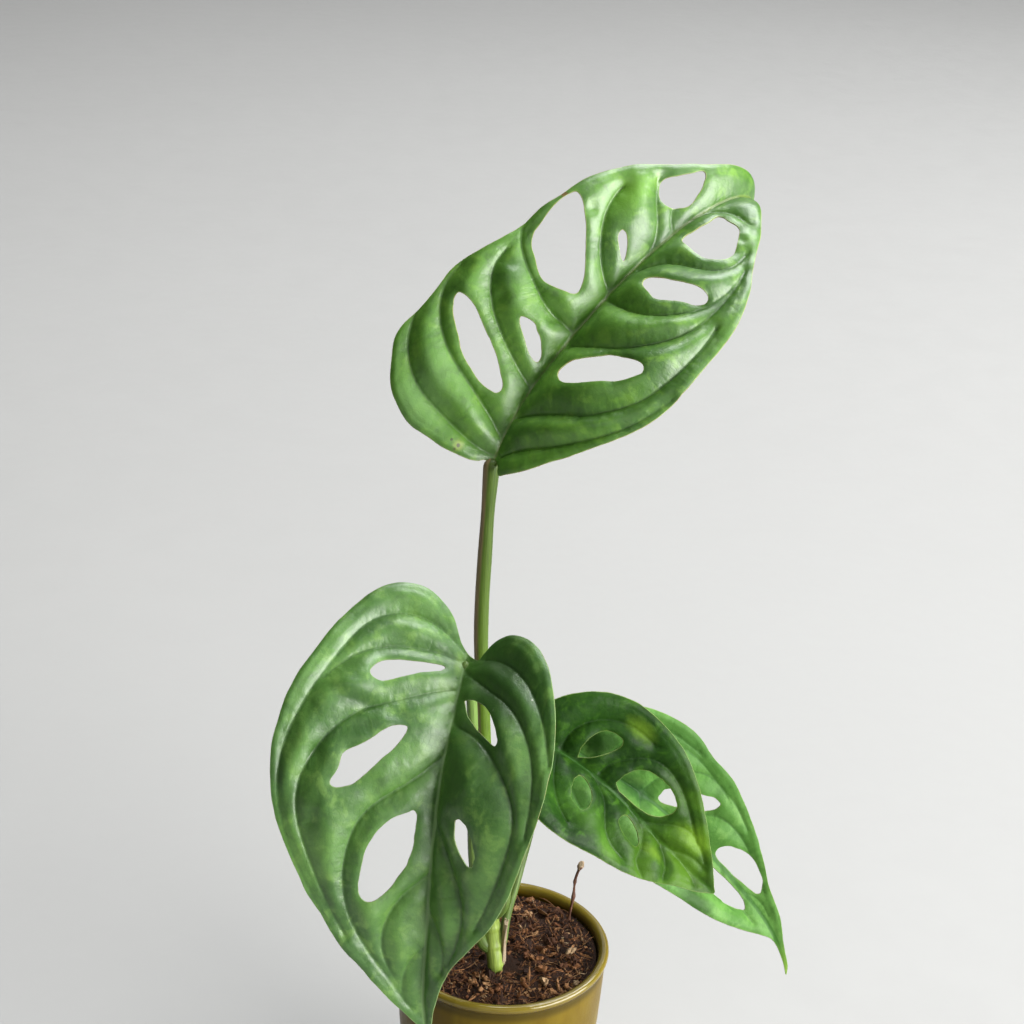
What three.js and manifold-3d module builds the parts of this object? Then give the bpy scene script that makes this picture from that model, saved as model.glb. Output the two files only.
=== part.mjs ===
// Monstera adansonii in a small glazed pot.
// Units are millimetres, +Z is up, and the origin is the centre of the pot's underside.
//
// The plant is a short stem rooted in a plug of potting mix. Four leaf stalks (petioles) rise from the stem,
// and each carries one perforated leaf. A dry sheath stands beside the stem and a dry root end sticks out of
// the mix near the rim. Neighbouring pieces stand CLEARANCE apart.
//
// A leaf is drawn flat and then laid on a folded surface. Its flat drawing uses [s, t]: s runs along the midrib
// from the stalk to the tip, and t across it, with both in millimetres on the blade. The surface follows the
// midrib through space and opens to both sides of it like a shallow V whose arms curl.

import * as THREE from 'three';
import { mergeVertices } from 'three/addons/utils/BufferGeometryUtils.js';
import Module from 'manifold-3d';

const wasm = await Module();
wasm.setup();

// ---------------------------------------------------------------- driving dimensions

const CLEARANCE = 0.3;          // gap between neighbouring pieces

const POT = {
  height: 67.2,
  rimRadius: 36,                // outside of the lip bead
  wallTop: 34.7,                // outer wall just below the lip
  wallFoot: 29.6,               // outer wall just above the heel
  footRadius: 26.8,             // flat ring that stands on the table
  wall: 2.5,
  floor: 5,
  segments: 48,
};

const SOIL = {
  surface: 63.0,                // mean height of the mix, a few millimetres under the lip
  relief: 0.75,                 // height of its lumps
  segments: 36,
};

const STEM = {
  foot: [-0.2, -7.4, 38],
  top: [-4.75, -8.0, 97],
  radius: 2.75,
  nodes: [0.47, 0.58, 0.70, 0.88],   // where stalks leave it, as a share of its length
  nodeSwell: 0.35,
};

// Leaf stalks: centre lines from the stem to the blade.
const PETIOLES = {
  petiole_upper: {
    radius: 2.2, steps: 22,
    path: [[-4.8, -8, 97.5], [-5.75, -8, 108.4], [-7.3, -8, 130.9], [-8.35, -7.6, 150.8], [-9.6, -7, 168.4],
      [-10.4, -6.2, 183.7], [-10.55, -5.4, 197.1], [-10.25, -4.6, 210.3], [-9.8, -3.6, 226.5], [-9.24, -2.16, 240.2]],
  },
  petiole_left: {
    radius: 1.75, steps: 20,
    path: [[-2.8, -7.8, 70.6], [-6, -9.4, 73.2], [-7.4, -9.75, 76.3], [-7.95, -10.4, 79.5], [-8.6, -12.3, 88], [-9.3, -13.5, 100.4], [-10.5, -14, 116], [-11.2, -14.2, 134.6],
      [-11.8, -14.6, 156.6], [-12.8, -15.3, 171.1], [-14.0, -18.0, 179.2], [-14.5, -21.5, 182.4]],
  },
  petiole_right_front: {
    radius: 1.55, steps: 18,
    path: [[-3.7, -7.9, 83], [-0.9, -9.1, 85.8], [0.35, -9.4, 88.6], [0.85, -9.1, 91.5], [1.7, -6.4, 104], [2.8, -1.2, 120], [4.4, 4.8, 133.5], [7.2, 8.2, 140.4], [9.8, 4.4, 143.0]],
  },
  petiole_right_back: {
    radius: 1.5, steps: 18,
    path: [[-2.4, -7.7, 66], [-0.7, -6.4, 68], [0.25, -4.6, 70.2], [0.75, -3.2, 73.2], [1.5, -1.0, 79], [3.8, 3.2, 87.8], [6.6, 9.6, 98], [10, 18, 110], [13.6, 26.2, 120.8],
      [17.4, 29.6, 126], [19.5, 25.8, 128.0]],
  },
};

// Roots: they leave the buried foot of the stem and run out through the mix.
const ROOTS = {
  radius: 1.1, steps: 9,
  paths: {
    root_1: [[3.0, -6.6, 45], [9, -4, 41], [17, 1, 33], [22, 6, 22]],
    root_2: [[0.9, -4.3, 42], [3, 3, 37], [1, 13, 30], [-5, 20, 18]],
    root_3: [[-3.6, -6.3, 44], [-10, -3, 39], [-18, 3, 31], [-22, 4, 19]],
    root_4: [[-2.6, -9.9, 41.5], [-8, -15, 35], [-14, -18, 26], [-15, -17, 14]],
    root_5: [[2.2, -9.9, 40.5], [8, -16, 34], [13, -19, 24], [13, -15, 12]],
  },
};

const DRY_ROOT = {
  radius: 0.75, steps: 10,
  path: [[22.0, 18.6, 53], [22.9, 19.0, 64.3], [23.9, 19.5, 72.2], [24.3, 20.1, 79.2], [25.9, 20.6, 84.8]],
};

// Dry papery sheath that wraps part of the stem's foot.
const SHEATH = { inner: 3.5, thickness: 0.5, foot: 65.4, height: 17.6, from: -72, to: 12 };

const BLADE = 0.6;              // leaf thickness
const MIDRIB = { depth: 1.1, halfWidth: 1.9 };   // rib that stands out of the underside
const MESH_STEP = 6.2;          // spacing of points across a blade

// Each leaf: midrib line through space, the direction its face looks along that line, the fold of its two
// halves in degrees (a: t < 0, b: t > 0) and their curl in degrees per millimetre, then the flat drawing of
// its margin and holes.
const LEAVES = {
  leaf_upper: {
    length: 147.87,
    midrib: [[-9.08, -1.97, 240.59], [-1.7, 5.88, 255.55], [8.28, 13.3, 269.23], [19.39, 20.8, 281.94],
      [31.32, 29.02, 293.41], [44.01, 38.55, 302.84], [57.14, 50.05, 308.74], [68.09, 64.28, 306.78],
      [68.26, 76.03, 293.28]],
    facing: [[-0.11, -0.86, 0.498], [-0.095, -0.855, 0.51], [-0.066, -0.847, 0.527], [-0.029, -0.831, 0.556],
      [0.05, -0.796, 0.604], [0.148, -0.722, 0.676], [0.361, -0.534, 0.765], [0.78, 0.06, 0.623],
      [0.847, 0.493, 0.2]],
    fold: { a: [20, 22.31, 23.75, 24.31, 24, 23, 25, 31, 34], b: [40, 43.12, 44.5, 44.12, 42, 38.12, 32.5, 25.13, 16] },
    curl: { a: [-0.7, -0.759, -0.812, -0.859, -0.9, -0.9, -0.8, -0.5, -0.4], b: [-0.8, -0.853, -0.888, -0.903, -0.9, -0.878, -0.838, -0.778, -0.7] },
    margin: [[0.4, 0], [0.4, -2.9], [-0.6, -4.6], [-1.3, -6.9], [-1.4, -11.5], [-1.1, -16], [-0.4, -20.6], [0.6, -25],
      [2.3, -29.2], [4.8, -33], [7.8, -36.3], [11.4, -39.1], [15.3, -41.5], [19.3, -43.1], [23.6, -42.9],
      [28.1, -41.9], [32.6, -41.6], [37.2, -41.6], [41.6, -40.8], [45.8, -39.1], [50, -37.3], [54.3, -35.6],
      [58.6, -34.3], [63.1, -33.4], [67.6, -32.7], [72.1, -31.7], [76.5, -30.7], [81, -29.6], [85.3, -28.1],
      [89.5, -26.1], [93.5, -23.9], [97.3, -21.4], [101.1, -18.8], [105, -16.3], [109, -14.1], [113.2, -12.3],
      [117.5, -10.9], [122, -9.6], [126.4, -8.4], [130.8, -6.9], [135, -5.2], [139.2, -3.4], [143.5, -1.7],
      [147.8, 0], [143.3, 0.9], [138.8, 1.9], [134.4, 2.9], [129.9, 4], [125.6, 5.3], [121.6, 7.1], [118.1, 9.9],
      [114.8, 13.1], [111.5, 16.3], [108.1, 19.3], [104.5, 22.2], [100.8, 24.9], [97.1, 27.6], [93.5, 30.3],
      [89.8, 33.1], [86, 35.5], [81.9, 37.6], [77.7, 39.3], [73.3, 40.6], [68.8, 41.5], [64.3, 42.1], [59.7, 42.6],
      [55.2, 42.9], [50.6, 43.1], [46, 42.9], [41.5, 42.3], [37.1, 41.2], [32.8, 39.7], [28.7, 37.8], [24.6, 35.7],
      [20.7, 33.4], [16.9, 30.8], [13.3, 28], [10, 24.8], [7.1, 21.3], [4.3, 17.7], [1.7, 14], [-0.5, 10],
      [-2.4, 5.8], [-1.5, 4.4], [0.4, 2.9]],
    holes: [
      [[34.9, -34.9], [31.6, -34.1], [29.1, -31.7], [27, -28.8], [24.9, -26], [22.8, -23.2], [21.4, -20],
        [20.1, -16.8], [19.1, -13.4], [18.8, -9.9], [20.9, -8], [23.5, -10.3], [25.9, -12.8], [28, -15.7],
        [29.8, -18.7], [31.2, -21.9], [32.9, -25], [34.5, -28.1], [35.3, -31.5]],
      [[40, -16.3], [37.4, -14], [35.5, -11], [33.5, -8], [32.6, -4.6], [35.4, -4.4], [38, -6.8], [39.9, -9.8],
        [41.2, -13]],
      [[66.1, -30.2], [62.5, -29.7], [59.1, -28.7], [56.6, -26.2], [54.8, -23.1], [53, -20], [52.2, -16.6],
        [53.2, -13.1], [54.3, -9.7], [57.2, -8.2], [60.4, -9.7], [63.3, -11.9], [66, -14.3], [68.6, -16.8],
        [71.1, -19.3], [73.3, -22.2], [75.3, -25.2], [76.3, -28.6], [73.2, -30.3], [69.7, -30.5]],
      [[78, -11.8], [76, -11], [74.5, -9.4], [73.3, -7.5], [72.3, -5.5], [73.6, -4.9], [75.3, -6.3], [76.8, -7.9],
        [78, -9.8]],
      [[108, -11.9], [104.4, -12.9], [101, -14.2], [97.6, -15.1], [94.9, -12.7], [94, -9.2], [96, -6.3],
        [99.3, -4.6], [102.8, -5.1], [106.1, -6.8], [108.8, -9.3]],
      [[46.3, 17], [43.8, 14.4], [41.3, 11.7], [38.8, 9.1], [35.5, 7.6], [32.4, 9], [31.6, 12.4], [32.9, 15.8],
        [34.9, 18.8], [37.1, 21.7], [39.2, 24.7], [41.7, 27.4], [44.6, 29.5], [47.9, 30.4], [49.1, 27.5],
        [48.5, 23.9], [47.5, 20.4]],
      [[72.1, 9.8], [69.1, 10.8], [68.2, 14.4], [68.8, 17.9], [70.9, 21], [73.2, 24], [75.5, 26.8], [78.6, 27],
        [78.2, 23.3], [76.8, 19.9], [75.4, 16.4], [74, 13]],
      [[103.7, 6.5], [100.2, 6.8], [96.7, 6.3], [93.2, 5.4], [89.9, 5.3], [88.4, 8.4], [87.9, 12], [88.2, 15.5],
        [90, 18.6], [92.8, 20.6], [96.3, 20.5], [99.4, 18.7], [102.2, 16.4], [104.2, 13.5], [103.9, 10]],
    ],
  },
  leaf_left: {
    length: 132.42,
    midrib: [[-14.22, -20, 184.68], [-16.73, -32.73, 174.51], [-19.42, -42.31, 161.33], [-21.14, -48.98, 146.31],
      [-21.98, -53.26, 130.36], [-22.49, -55.86, 114.02], [-22.99, -57.38, 97.55], [-22.76, -58.21, 81.03],
      [-19.38, -58.3, 64.89]],
    facing: [[-0.048, -0.57, 0.82], [-0.072, -0.702, 0.709], [-0.117, -0.86, 0.497], [-0.126, -0.935, 0.333],
      [-0.121, -0.972, 0.204], [-0.12, -0.985, 0.122], [-0.122, -0.99, 0.074], [-0.021, -1, 0.023],
      [0.091, -0.996, 0.019]],
    fold: { a: [36, 36.75, 37, 36.75, 36, 34.75, 33, 30.75, 28], b: [18, 18.38, 18.5, 18.38, 18, 17.38, 16.5, 15.38, 14] },
    curl: { a: [-0.6, -0.6, -0.6, -0.6, -0.6, -0.6, -0.6, -0.6, -0.6], b: [-0.35, -0.35, -0.35, -0.35, -0.35, -0.35, -0.35, -0.35, -0.35] },
    margin: [[-1.1, -0.4], [-4.5, 2.6], [-8.3, 5], [-12.1, 7.5], [-15.3, 10.7], [-17.6, 14.5], [-18.7, 18.8],
      [-18.4, 23.3], [-16.8, 27.4], [-14.2, 31], [-10.8, 34.1], [-7.1, 36.8], [-3.2, 39.2], [0.8, 41.3], [5, 43.2],
      [9.2, 44.9], [13.5, 46.6], [17.7, 48.1], [22.1, 49.4], [26.6, 50.3], [31.1, 50.9], [35.6, 51.1], [40.2, 50.8],
      [44.7, 50.1], [49.1, 49], [53.4, 47.5], [57.6, 45.6], [61.6, 43.5], [65.7, 41.4], [69.7, 39.3], [73.8, 37.1],
      [77.6, 34.7], [81.5, 32.2], [85.4, 29.8], [89.2, 27.3], [92.8, 24.5], [96.3, 21.6], [99.8, 18.6],
      [103.2, 15.6], [106.7, 12.6], [110, 9.5], [113.4, 6.4], [117.1, 3.7], [121.1, 1.7], [125.5, 0.4], [130, -0.2],
      [133.2, 0], [128.7, -0.9], [124.2, -1.6], [119.7, -2.4], [115.2, -3.4], [110.8, -4.6], [106.4, -6],
      [102.1, -7.4], [97.8, -9], [93.8, -11], [89.9, -13.5], [86.2, -16.2], [82.6, -18.9], [78.8, -21.6],
      [74.9, -24], [70.9, -26.1], [66.8, -28.1], [62.5, -29.8], [58.2, -31.2], [53.8, -32.5], [49.4, -33.8],
      [45, -35], [40.5, -36.1], [36, -36.8], [31.5, -37.1], [26.9, -36.9], [22.4, -36.3], [18, -35.2],
      [13.7, -33.7], [9.5, -31.8], [5.5, -29.7], [1.7, -27.1], [-1.5, -24], [-3.9, -20.2], [-4.9, -16],
      [-3.9, -11.8], [-1.5, -8.1], [1.4, -4.5]],
    holes: [
      [[7.3, 21.8], [8.7, 25.1], [11.7, 27.2], [14.4, 26.3], [14.5, 22.8], [12.9, 19.5], [11.3, 16.3], [9.5, 13.1],
        [8.2, 9.7], [6.6, 6.5], [4.9, 7.5], [5.5, 11.1], [6, 14.7], [6.4, 18.3]],
      [[25.6, 16.6], [27.4, 19.7], [29.8, 22.4], [32.1, 25.3], [33.8, 28.5], [36.5, 30.5], [40, 31.3], [43.1, 32.6],
        [43.6, 29.2], [42.3, 25.8], [39.9, 23.1], [37.2, 20.6], [34.4, 18.3], [31.8, 15.7], [28.7, 13.9], [25.4, 13]],
      [[47.8, 7.2], [49.1, 10.6], [50.8, 13.8], [53.2, 16.5], [56.2, 18.5], [59.5, 20.1], [63.1, 20.8],
        [66.7, 21.3], [70.4, 21.7], [73.9, 21], [75.4, 18], [73.8, 14.8], [71.2, 12.2], [68.1, 10.2], [65.1, 8.2],
        [61.7, 7], [58.2, 6], [54.5, 6], [50.9, 5.8]],
      [[14.8, -3.9], [14.6, -7.3], [15.7, -10.6], [17.6, -13.5], [19.9, -16.1], [22.5, -18.4], [25.5, -19.5],
        [25.8, -16.5], [24.4, -13.3], [22.7, -10.3], [20.5, -7.6], [17.9, -5.4]],
      [[48.1, -9.8], [47.8, -13], [50.3, -15.5], [53.5, -17], [57, -17.7], [59.7, -16.2], [58, -13.2],
        [55.1, -11.2], [51.7, -10]],
    ],
  },
  leaf_right_front: {
    length: 80.18,
    midrib: [[7.87, 4, 144.79], [16.27, 2.94, 139.44], [24.68, 1.88, 134.1], [32.52, 0.75, 127.96],
      [39.73, -0.45, 121.11], [46.67, -1.71, 113.99], [53.77, -2.98, 107.03], [61.16, -4.24, 100.38],
      [68.3, -5.5, 93.46]],
    facing: [[0.239, -0.812, 0.532], [0.235, -0.808, 0.54], [0.252, -0.816, 0.521], [0.279, -0.839, 0.467],
      [0.286, -0.855, 0.433], [0.281, -0.859, 0.428], [0.268, -0.852, 0.45], [0.262, -0.857, 0.444],
      [0.259, -0.871, 0.418]],
    fold: { a: [18, 18.56, 18.75, 18.56, 18, 17.06, 15.75, 14.06, 12], b: [30, 30.94, 31.25, 30.94, 30, 28.44, 26.25, 23.44, 20] },
    curl: { a: [-0.4, -0.444, -0.475, -0.494, -0.5, -0.494, -0.475, -0.444, -0.4], b: [-0.5, -0.5, -0.5, -0.5, -0.5, -0.5, -0.5, -0.5, -0.5] },
    margin: [[0, 0], [-2.7, -3.2], [-3.6, -7.2], [-2.4, -11.3], [0, -15.1], [3, -18.5], [6.5, -21.4], [10.5, -23.6],
      [14.7, -25.3], [19.1, -26.5], [23.6, -27.1], [28.1, -27], [32.7, -26.5], [37.2, -25.7], [41.6, -24.5],
      [45.8, -22.8], [50, -21.1], [54.2, -19.1], [58.2, -16.9], [62.1, -14.5], [65.8, -11.9], [69.5, -9.1],
      [73.1, -6.3], [76.6, -3.4], [80.2, -0.5], [76.7, 2.5], [73, 5.1], [69, 7.4], [65.1, 9.7], [61.2, 12.2],
      [57.4, 14.6], [53.4, 16.8], [49.3, 18.8], [45, 20.5], [40.7, 22], [36.4, 23.5], [32.1, 24.9], [27.7, 26.1],
      [23.2, 26.9], [18.6, 27.2], [14.1, 26.8], [9.8, 25.6], [6, 23.2], [3.1, 19.9], [1.1, 15.9], [0, 11.5],
      [-0.3, 7], [0.2, 2.5]],
    holes: [
      [[15.6, -1.9], [14.5, -5.2], [14.9, -8.7], [16.3, -11.9], [18.7, -14.4], [22.1, -15.1], [24.1, -12.8],
        [22.8, -9.5], [20.9, -6.5], [18.6, -3.8]],
      [[17.8, 10.8], [17.3, 7.2], [18.9, 3.9], [22.2, 4.2], [24.7, 6.8], [25.9, 10.2], [25.6, 13.7], [22.9, 15.2],
        [19.6, 13.8]],
      [[30.2, -3.1], [30.2, -6.7], [31.6, -10], [34, -12.5], [37.3, -13.8], [40.8, -14.3], [44.3, -14.1],
        [47.7, -13.1], [49.9, -10.6], [49.3, -7.2], [47.2, -4.6], [44, -3], [40.5, -2.2], [36.9, -1.9], [33.4, -1.7]],
      [[37.9, 7.4], [38.8, 4.3], [41.5, 2.7], [44.8, 3.2], [47.7, 4.9], [49.1, 7.6], [47.1, 9.9], [43.8, 10.1],
        [40.5, 9.5]],
    ],
  },
  leaf_right_back: {
    length: 117.31,
    midrib: [[17.67, 25, 129.84], [29.77, 25.48, 121.58], [41.88, 25.5, 113.31], [53.48, 24.98, 104.36],
      [64.46, 23.76, 94.73], [74.9, 21.72, 84.63], [84.7, 18.92, 74.1], [93.17, 15.61, 62.62], [97.92, 12.5, 49.22]],
    facing: [[0.34, -0.834, 0.436], [0.322, -0.834, 0.448], [0.302, -0.842, 0.446], [0.288, -0.858, 0.425],
      [0.257, -0.87, 0.422], [0.223, -0.876, 0.427], [0.194, -0.882, 0.429], [0.166, -0.929, 0.33],
      [0.108, -0.964, 0.241]],
    fold: { a: [15, 15.66, 15.88, 15.66, 15, 13.91, 12.38, 10.41, 8], b: [25, 26.41, 26.88, 26.41, 25, 22.66, 19.38, 15.16, 10] },
    curl: { a: [-0.3, -0.3, -0.3, -0.3, -0.3, -0.3, -0.3, -0.3, -0.3], b: [-0.4, -0.4, -0.4, -0.4, -0.4, -0.4, -0.4, -0.4, -0.4] },
    margin: [[0, 0], [-0.3, -4.5], [0.7, -8.9], [2.9, -13], [5.7, -16.7], [9, -20], [12.7, -22.7], [16.9, -24.7],
      [21.3, -26], [25.9, -27], [30.5, -27.4], [35.1, -27.2], [39.6, -26.2], [44.1, -24.9], [48.7, -24.2],
      [53.2, -23.4], [57.7, -22], [62, -20.2], [66.3, -18.4], [70.5, -16.4], [74.7, -14.4], [78.9, -12.3],
      [83, -10.1], [87.3, -8.1], [91.6, -6.6], [96.1, -5.2], [100.5, -3.7], [105, -2.4], [109.6, -1.7],
      [114.2, -1.3], [117.3, -0.2], [112.8, 0], [108.3, 0.3], [104, 1.3], [100.1, 3.4], [96.6, 6.1], [92.9, 8.8],
      [89.1, 11.3], [85.1, 13.5], [81, 15.5], [76.8, 17.1], [72.4, 18.4], [68, 19.5], [63.6, 20.6], [59.2, 21.7],
      [54.8, 22.8], [50.3, 23.6], [45.8, 24.2], [41.3, 24.7], [36.8, 25.1], [32.3, 25.2], [27.7, 25], [23.2, 24.4],
      [18.8, 23.4], [14.6, 21.9], [10.5, 19.9], [6.8, 17.3], [3.7, 14.2], [1.2, 10.4], [0, 6.2], [-0.2, 1.7]],
    holes: [
      [[67.1, -6.2], [66.1, -2.8], [68.7, -0.8], [72.3, -0.9], [75.9, -0.9], [79.5, -1.4], [83.1, -2], [86.6, -2.8],
        [86.8, -5.6], [84.1, -8], [80.6, -9], [77.1, -9.8], [73.5, -9.4], [70.2, -8.1]],
      [[65, 6], [67.7, 3.5], [71, 2.3], [74.6, 1.8], [78.3, 1.6], [82, 1.5], [85.6, 1.9], [88.2, 3.8], [85.4, 6.2],
        [82, 7.7], [78.5, 8.6], [74.9, 9.2], [71.2, 9.2], [67.8, 8.4]],
      [[38.3, -2.6], [38.4, -6.3], [40.6, -9.2], [43.9, -11], [47.3, -12.4], [50.7, -13.9], [54.2, -15],
        [56, -12.9], [54.3, -9.8], [51.6, -7.4], [48.5, -5.4], [45.1, -3.7], [41.7, -2.2]],
      [[39.5, 13.9], [42.2, 11.4], [45.6, 10.4], [49.2, 9.8], [52.9, 9.6], [56.5, 10.1], [56.9, 12.5], [53.8, 14.1],
        [50.3, 15.2], [46.7, 15.3], [43.1, 15]],
      [[18.1, -3.4], [18.9, -7.1], [21.1, -10.1], [24.1, -12.4], [27.4, -13.6], [29.2, -11.5], [27.4, -8.3],
        [24.8, -5.6], [21.8, -3.3]],
    ],
  },
};

const COLOURS = {
  pot: [0x8f7c2a, 0.18],
  soil: [0x3b2a20, 0.95],
  stem: [0x7d9c35, 0.5],
  petiole: [0x5d8232, 0.45],
  root: [0xc9b58c, 0.8],
  dryRoot: [0x6e4a3a, 0.9],
  sheath: [0xb9a98c, 0.85],
  leaf: [0x3f7a2c, 0.42],
  youngLeaf: [0x6fa352, 0.45],
};

// ---------------------------------------------------------------- geometry helpers

const rad = THREE.MathUtils.degToRad;

// A closed body: shared vertices merged, degenerate triangles dropped, faces turned outwards.
function solid(geometry) {
  const g = geometry.clone();
  g.deleteAttribute('normal');
  g.deleteAttribute('uv');
  const merged = mergeVertices(g, 1e-4);
  const p = merged.attributes.position, idx = merged.index.array, keep = [];
  let volume = 0;
  const a = new THREE.Vector3(), b = new THREE.Vector3(), c = new THREE.Vector3();
  for (let i = 0; i < idx.length; i += 3) {
    const [i0, i1, i2] = [idx[i], idx[i + 1], idx[i + 2]];
    if (i0 === i1 || i1 === i2 || i2 === i0) continue;
    a.fromBufferAttribute(p, i0); b.fromBufferAttribute(p, i1); c.fromBufferAttribute(p, i2);
    volume += a.dot(b.clone().cross(c));
    keep.push(i0, i1, i2);
  }
  if (volume < 0) for (let i = 0; i < keep.length; i += 3) [keep[i], keep[i + 1]] = [keep[i + 1], keep[i]];
  const out = new THREE.BufferGeometry();
  out.setAttribute('position', p.clone());
  out.setIndex(keep);
  return mergeVertices(out, 1e-5);
}

function toManifold(geometry) {
  return new wasm.Manifold(new wasm.Mesh({
    numProp: 3,
    vertProperties: Float32Array.from(geometry.attributes.position.array),
    triVerts: Uint32Array.from(geometry.index.array),
  }));
}

function fromManifold(body) {
  const m = body.getMesh();
  const g = new THREE.BufferGeometry();
  g.setAttribute('position', new THREE.BufferAttribute(Float32Array.from(m.vertProperties), 3));
  g.setIndex(Array.from(m.triVerts));
  return g;
}

// Natural cubic spline through equally spaced knots (numbers or vectors); u runs from 0 to 1.
// Before and after its ends it goes on straight. Returns [value, slope].
function spline(knots) {
  const rows = knots.map((k) => (Array.isArray(k) ? k : [k]));
  const n = rows.length - 1, h = 1 / n, dim = rows[0].length;
  const m = rows.map(() => new Array(dim).fill(0));
  const c = new Array(n).fill(0), d = rows.map(() => new Array(dim).fill(0));
  for (let i = 1; i < n; i++) {
    const w = 4 - (i > 1 ? c[i - 1] : 0);
    c[i] = 1 / w;
    for (let k = 0; k < dim; k++) {
      const r = 6 * (rows[i + 1][k] - 2 * rows[i][k] + rows[i - 1][k]) / (h * h);
      d[i][k] = (r - (i > 1 ? d[i - 1][k] : 0)) / w;
    }
  }
  for (let i = n - 1; i > 0; i--) for (let k = 0; k < dim; k++) m[i][k] = d[i][k] - c[i] * m[i + 1][k];
  return (u) => {
    const uc = Math.min(1, Math.max(0, u)), x = uc * n, i = Math.min(n - 1, Math.floor(x));
    const b = x - i, a = 1 - b, value = [], slope = [];
    for (let k = 0; k < dim; k++) {
      const s = (rows[i + 1][k] - rows[i][k]) / h
        + (-(3 * a * a - 1) * m[i][k] + (3 * b * b - 1) * m[i + 1][k]) * h / 6;
      value.push(a * rows[i][k] + b * rows[i + 1][k]
        + ((a ** 3 - a) * m[i][k] + (b ** 3 - b) * m[i + 1][k]) * h * h / 6 + (u - uc) * s);
      slope.push(s);
    }
    return [value, slope];
  };
}

// Round bar along a smooth path, with flat ends.
function bar(points, radius, steps, sides = 8) {
  const path = new THREE.CatmullRomCurve3(points.map((q) => new THREE.Vector3(...q)), false, 'centripetal');
  const section = new THREE.Shape(Array.from({ length: sides }, (_, i) =>
    new THREE.Vector2(radius * Math.cos(2 * Math.PI * i / sides), radius * Math.sin(2 * Math.PI * i / sides))));
  return solid(new THREE.ExtrudeGeometry(section, { steps, extrudePath: path, bevelEnabled: false }));
}

// Body of revolution about +Z from an [r, z] profile.
function turned(profile, segments) {
  const g = new THREE.LatheGeometry(profile.map(([r, z]) => new THREE.Vector2(r, z)), segments);
  g.rotateX(Math.PI / 2);
  return g;
}

function blend(x, a, b) {
  const t = Math.min(1, Math.max(0, (x - a) / (b - a)));
  return t * t * (3 - 2 * t);
}

// ---------------------------------------------------------------- flat triangulation

const area = (a, b, c) => (b[0] - a[0]) * (c[1] - a[1]) - (b[1] - a[1]) * (c[0] - a[0]);

function inside(loop, q) {
  let hit = false;
  for (let i = 0, j = loop.length - 1; i < loop.length; j = i++) {
    const [a, b] = [loop[i], loop[j]];
    if ((a[1] > q[1]) !== (b[1] > q[1]) && q[0] < (b[0] - a[0]) * (q[1] - a[1]) / (b[1] - a[1]) + a[0]) hit = !hit;
  }
  return hit;
}

function distance(loop, q) {
  let best = Infinity;
  for (let i = 0, j = loop.length - 1; i < loop.length; j = i++) {
    const [a, b] = [loop[i], loop[j]], dx = b[0] - a[0], dy = b[1] - a[1];
    const f = Math.min(1, Math.max(0, ((q[0] - a[0]) * dx + (q[1] - a[1]) * dy) / (dx * dx + dy * dy)));
    best = Math.min(best, Math.hypot(a[0] + f * dx - q[0], a[1] + f * dy - q[1]));
  }
  return best;
}

// Points and triangles of a plate with holes: ear clipping between the loops, then every extra point is put in
// and the edges are swapped until the triangles are as even as they can be.
function triangulate(margin, holes, extra) {
  const toV = (l) => l.map(([x, y]) => new THREE.Vector2(x, y));
  const loops = [margin, ...holes];
  const points = loops.flat().map((q) => [...q]);
  let faces = THREE.ShapeUtils.triangulateShape(toV(margin), holes.map(toV))
    .map((f) => (area(points[f[0]], points[f[1]], points[f[2]]) < 0 ? [f[0], f[2], f[1]] : [...f]));
  const fixed = new Set();
  let base = 0;
  for (const l of loops) {
    for (let i = 0; i < l.length; i++) {
      const [a, b] = [base + i, base + (i + 1) % l.length];
      fixed.add(Math.min(a, b) + '_' + Math.max(a, b));
    }
    base += l.length;
  }
  for (const q of extra) {
    const at = faces.findIndex((f) => area(points[f[0]], points[f[1]], q) > 1e-6
      && area(points[f[1]], points[f[2]], q) > 1e-6 && area(points[f[2]], points[f[0]], q) > 1e-6);
    if (at < 0) continue;
    const [a, b, c] = faces[at], n = points.push(q) - 1;
    faces.splice(at, 1, [a, b, n], [b, c, n], [c, a, n]);
    improve();
  }
  improve();
  return { points, faces, loops };

  function improve() {
    for (let round = 0; round < 40; round++) {
      const owner = new Map();
      faces.forEach((f, k) => { for (let i = 0; i < 3; i++) owner.set(f[i] + '_' + f[(i + 1) % 3], k); });
      const touched = new Set();
      let swaps = 0;
      faces.forEach((f, k) => {
        if (touched.has(k)) return;
        for (let i = 0; i < 3; i++) {
          const a = f[i], b = f[(i + 1) % 3], c = f[(i + 2) % 3], other = owner.get(b + '_' + a);
          if (other === undefined || touched.has(other) || fixed.has(Math.min(a, b) + '_' + Math.max(a, b))) continue;
          const d = faces[other].find((v) => v !== a && v !== b);
          if (area(points[a], points[d], points[c]) < 1e-6 || area(points[d], points[b], points[c]) < 1e-6) continue;
          if (!inCircle(points[a], points[b], points[c], points[d])) continue;
          faces[k] = [a, d, c]; faces[other] = [d, b, c];
          touched.add(k); touched.add(other); swaps++;
          return;
        }
      });
      if (!swaps) return;
    }
  }

  function inCircle(a, b, c, d) {
    const [ax, ay, bx, by, cx, cy] = [a[0] - d[0], a[1] - d[1], b[0] - d[0], b[1] - d[1], c[0] - d[0], c[1] - d[1]];
    return (ax * ax + ay * ay) * (bx * cy - cx * by) - (bx * bx + by * by) * (ax * cy - cx * ay)
      + (cx * cx + cy * cy) * (ax * by - bx * ay) > 1e-9;
  }
}

// ---------------------------------------------------------------- leaves

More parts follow.
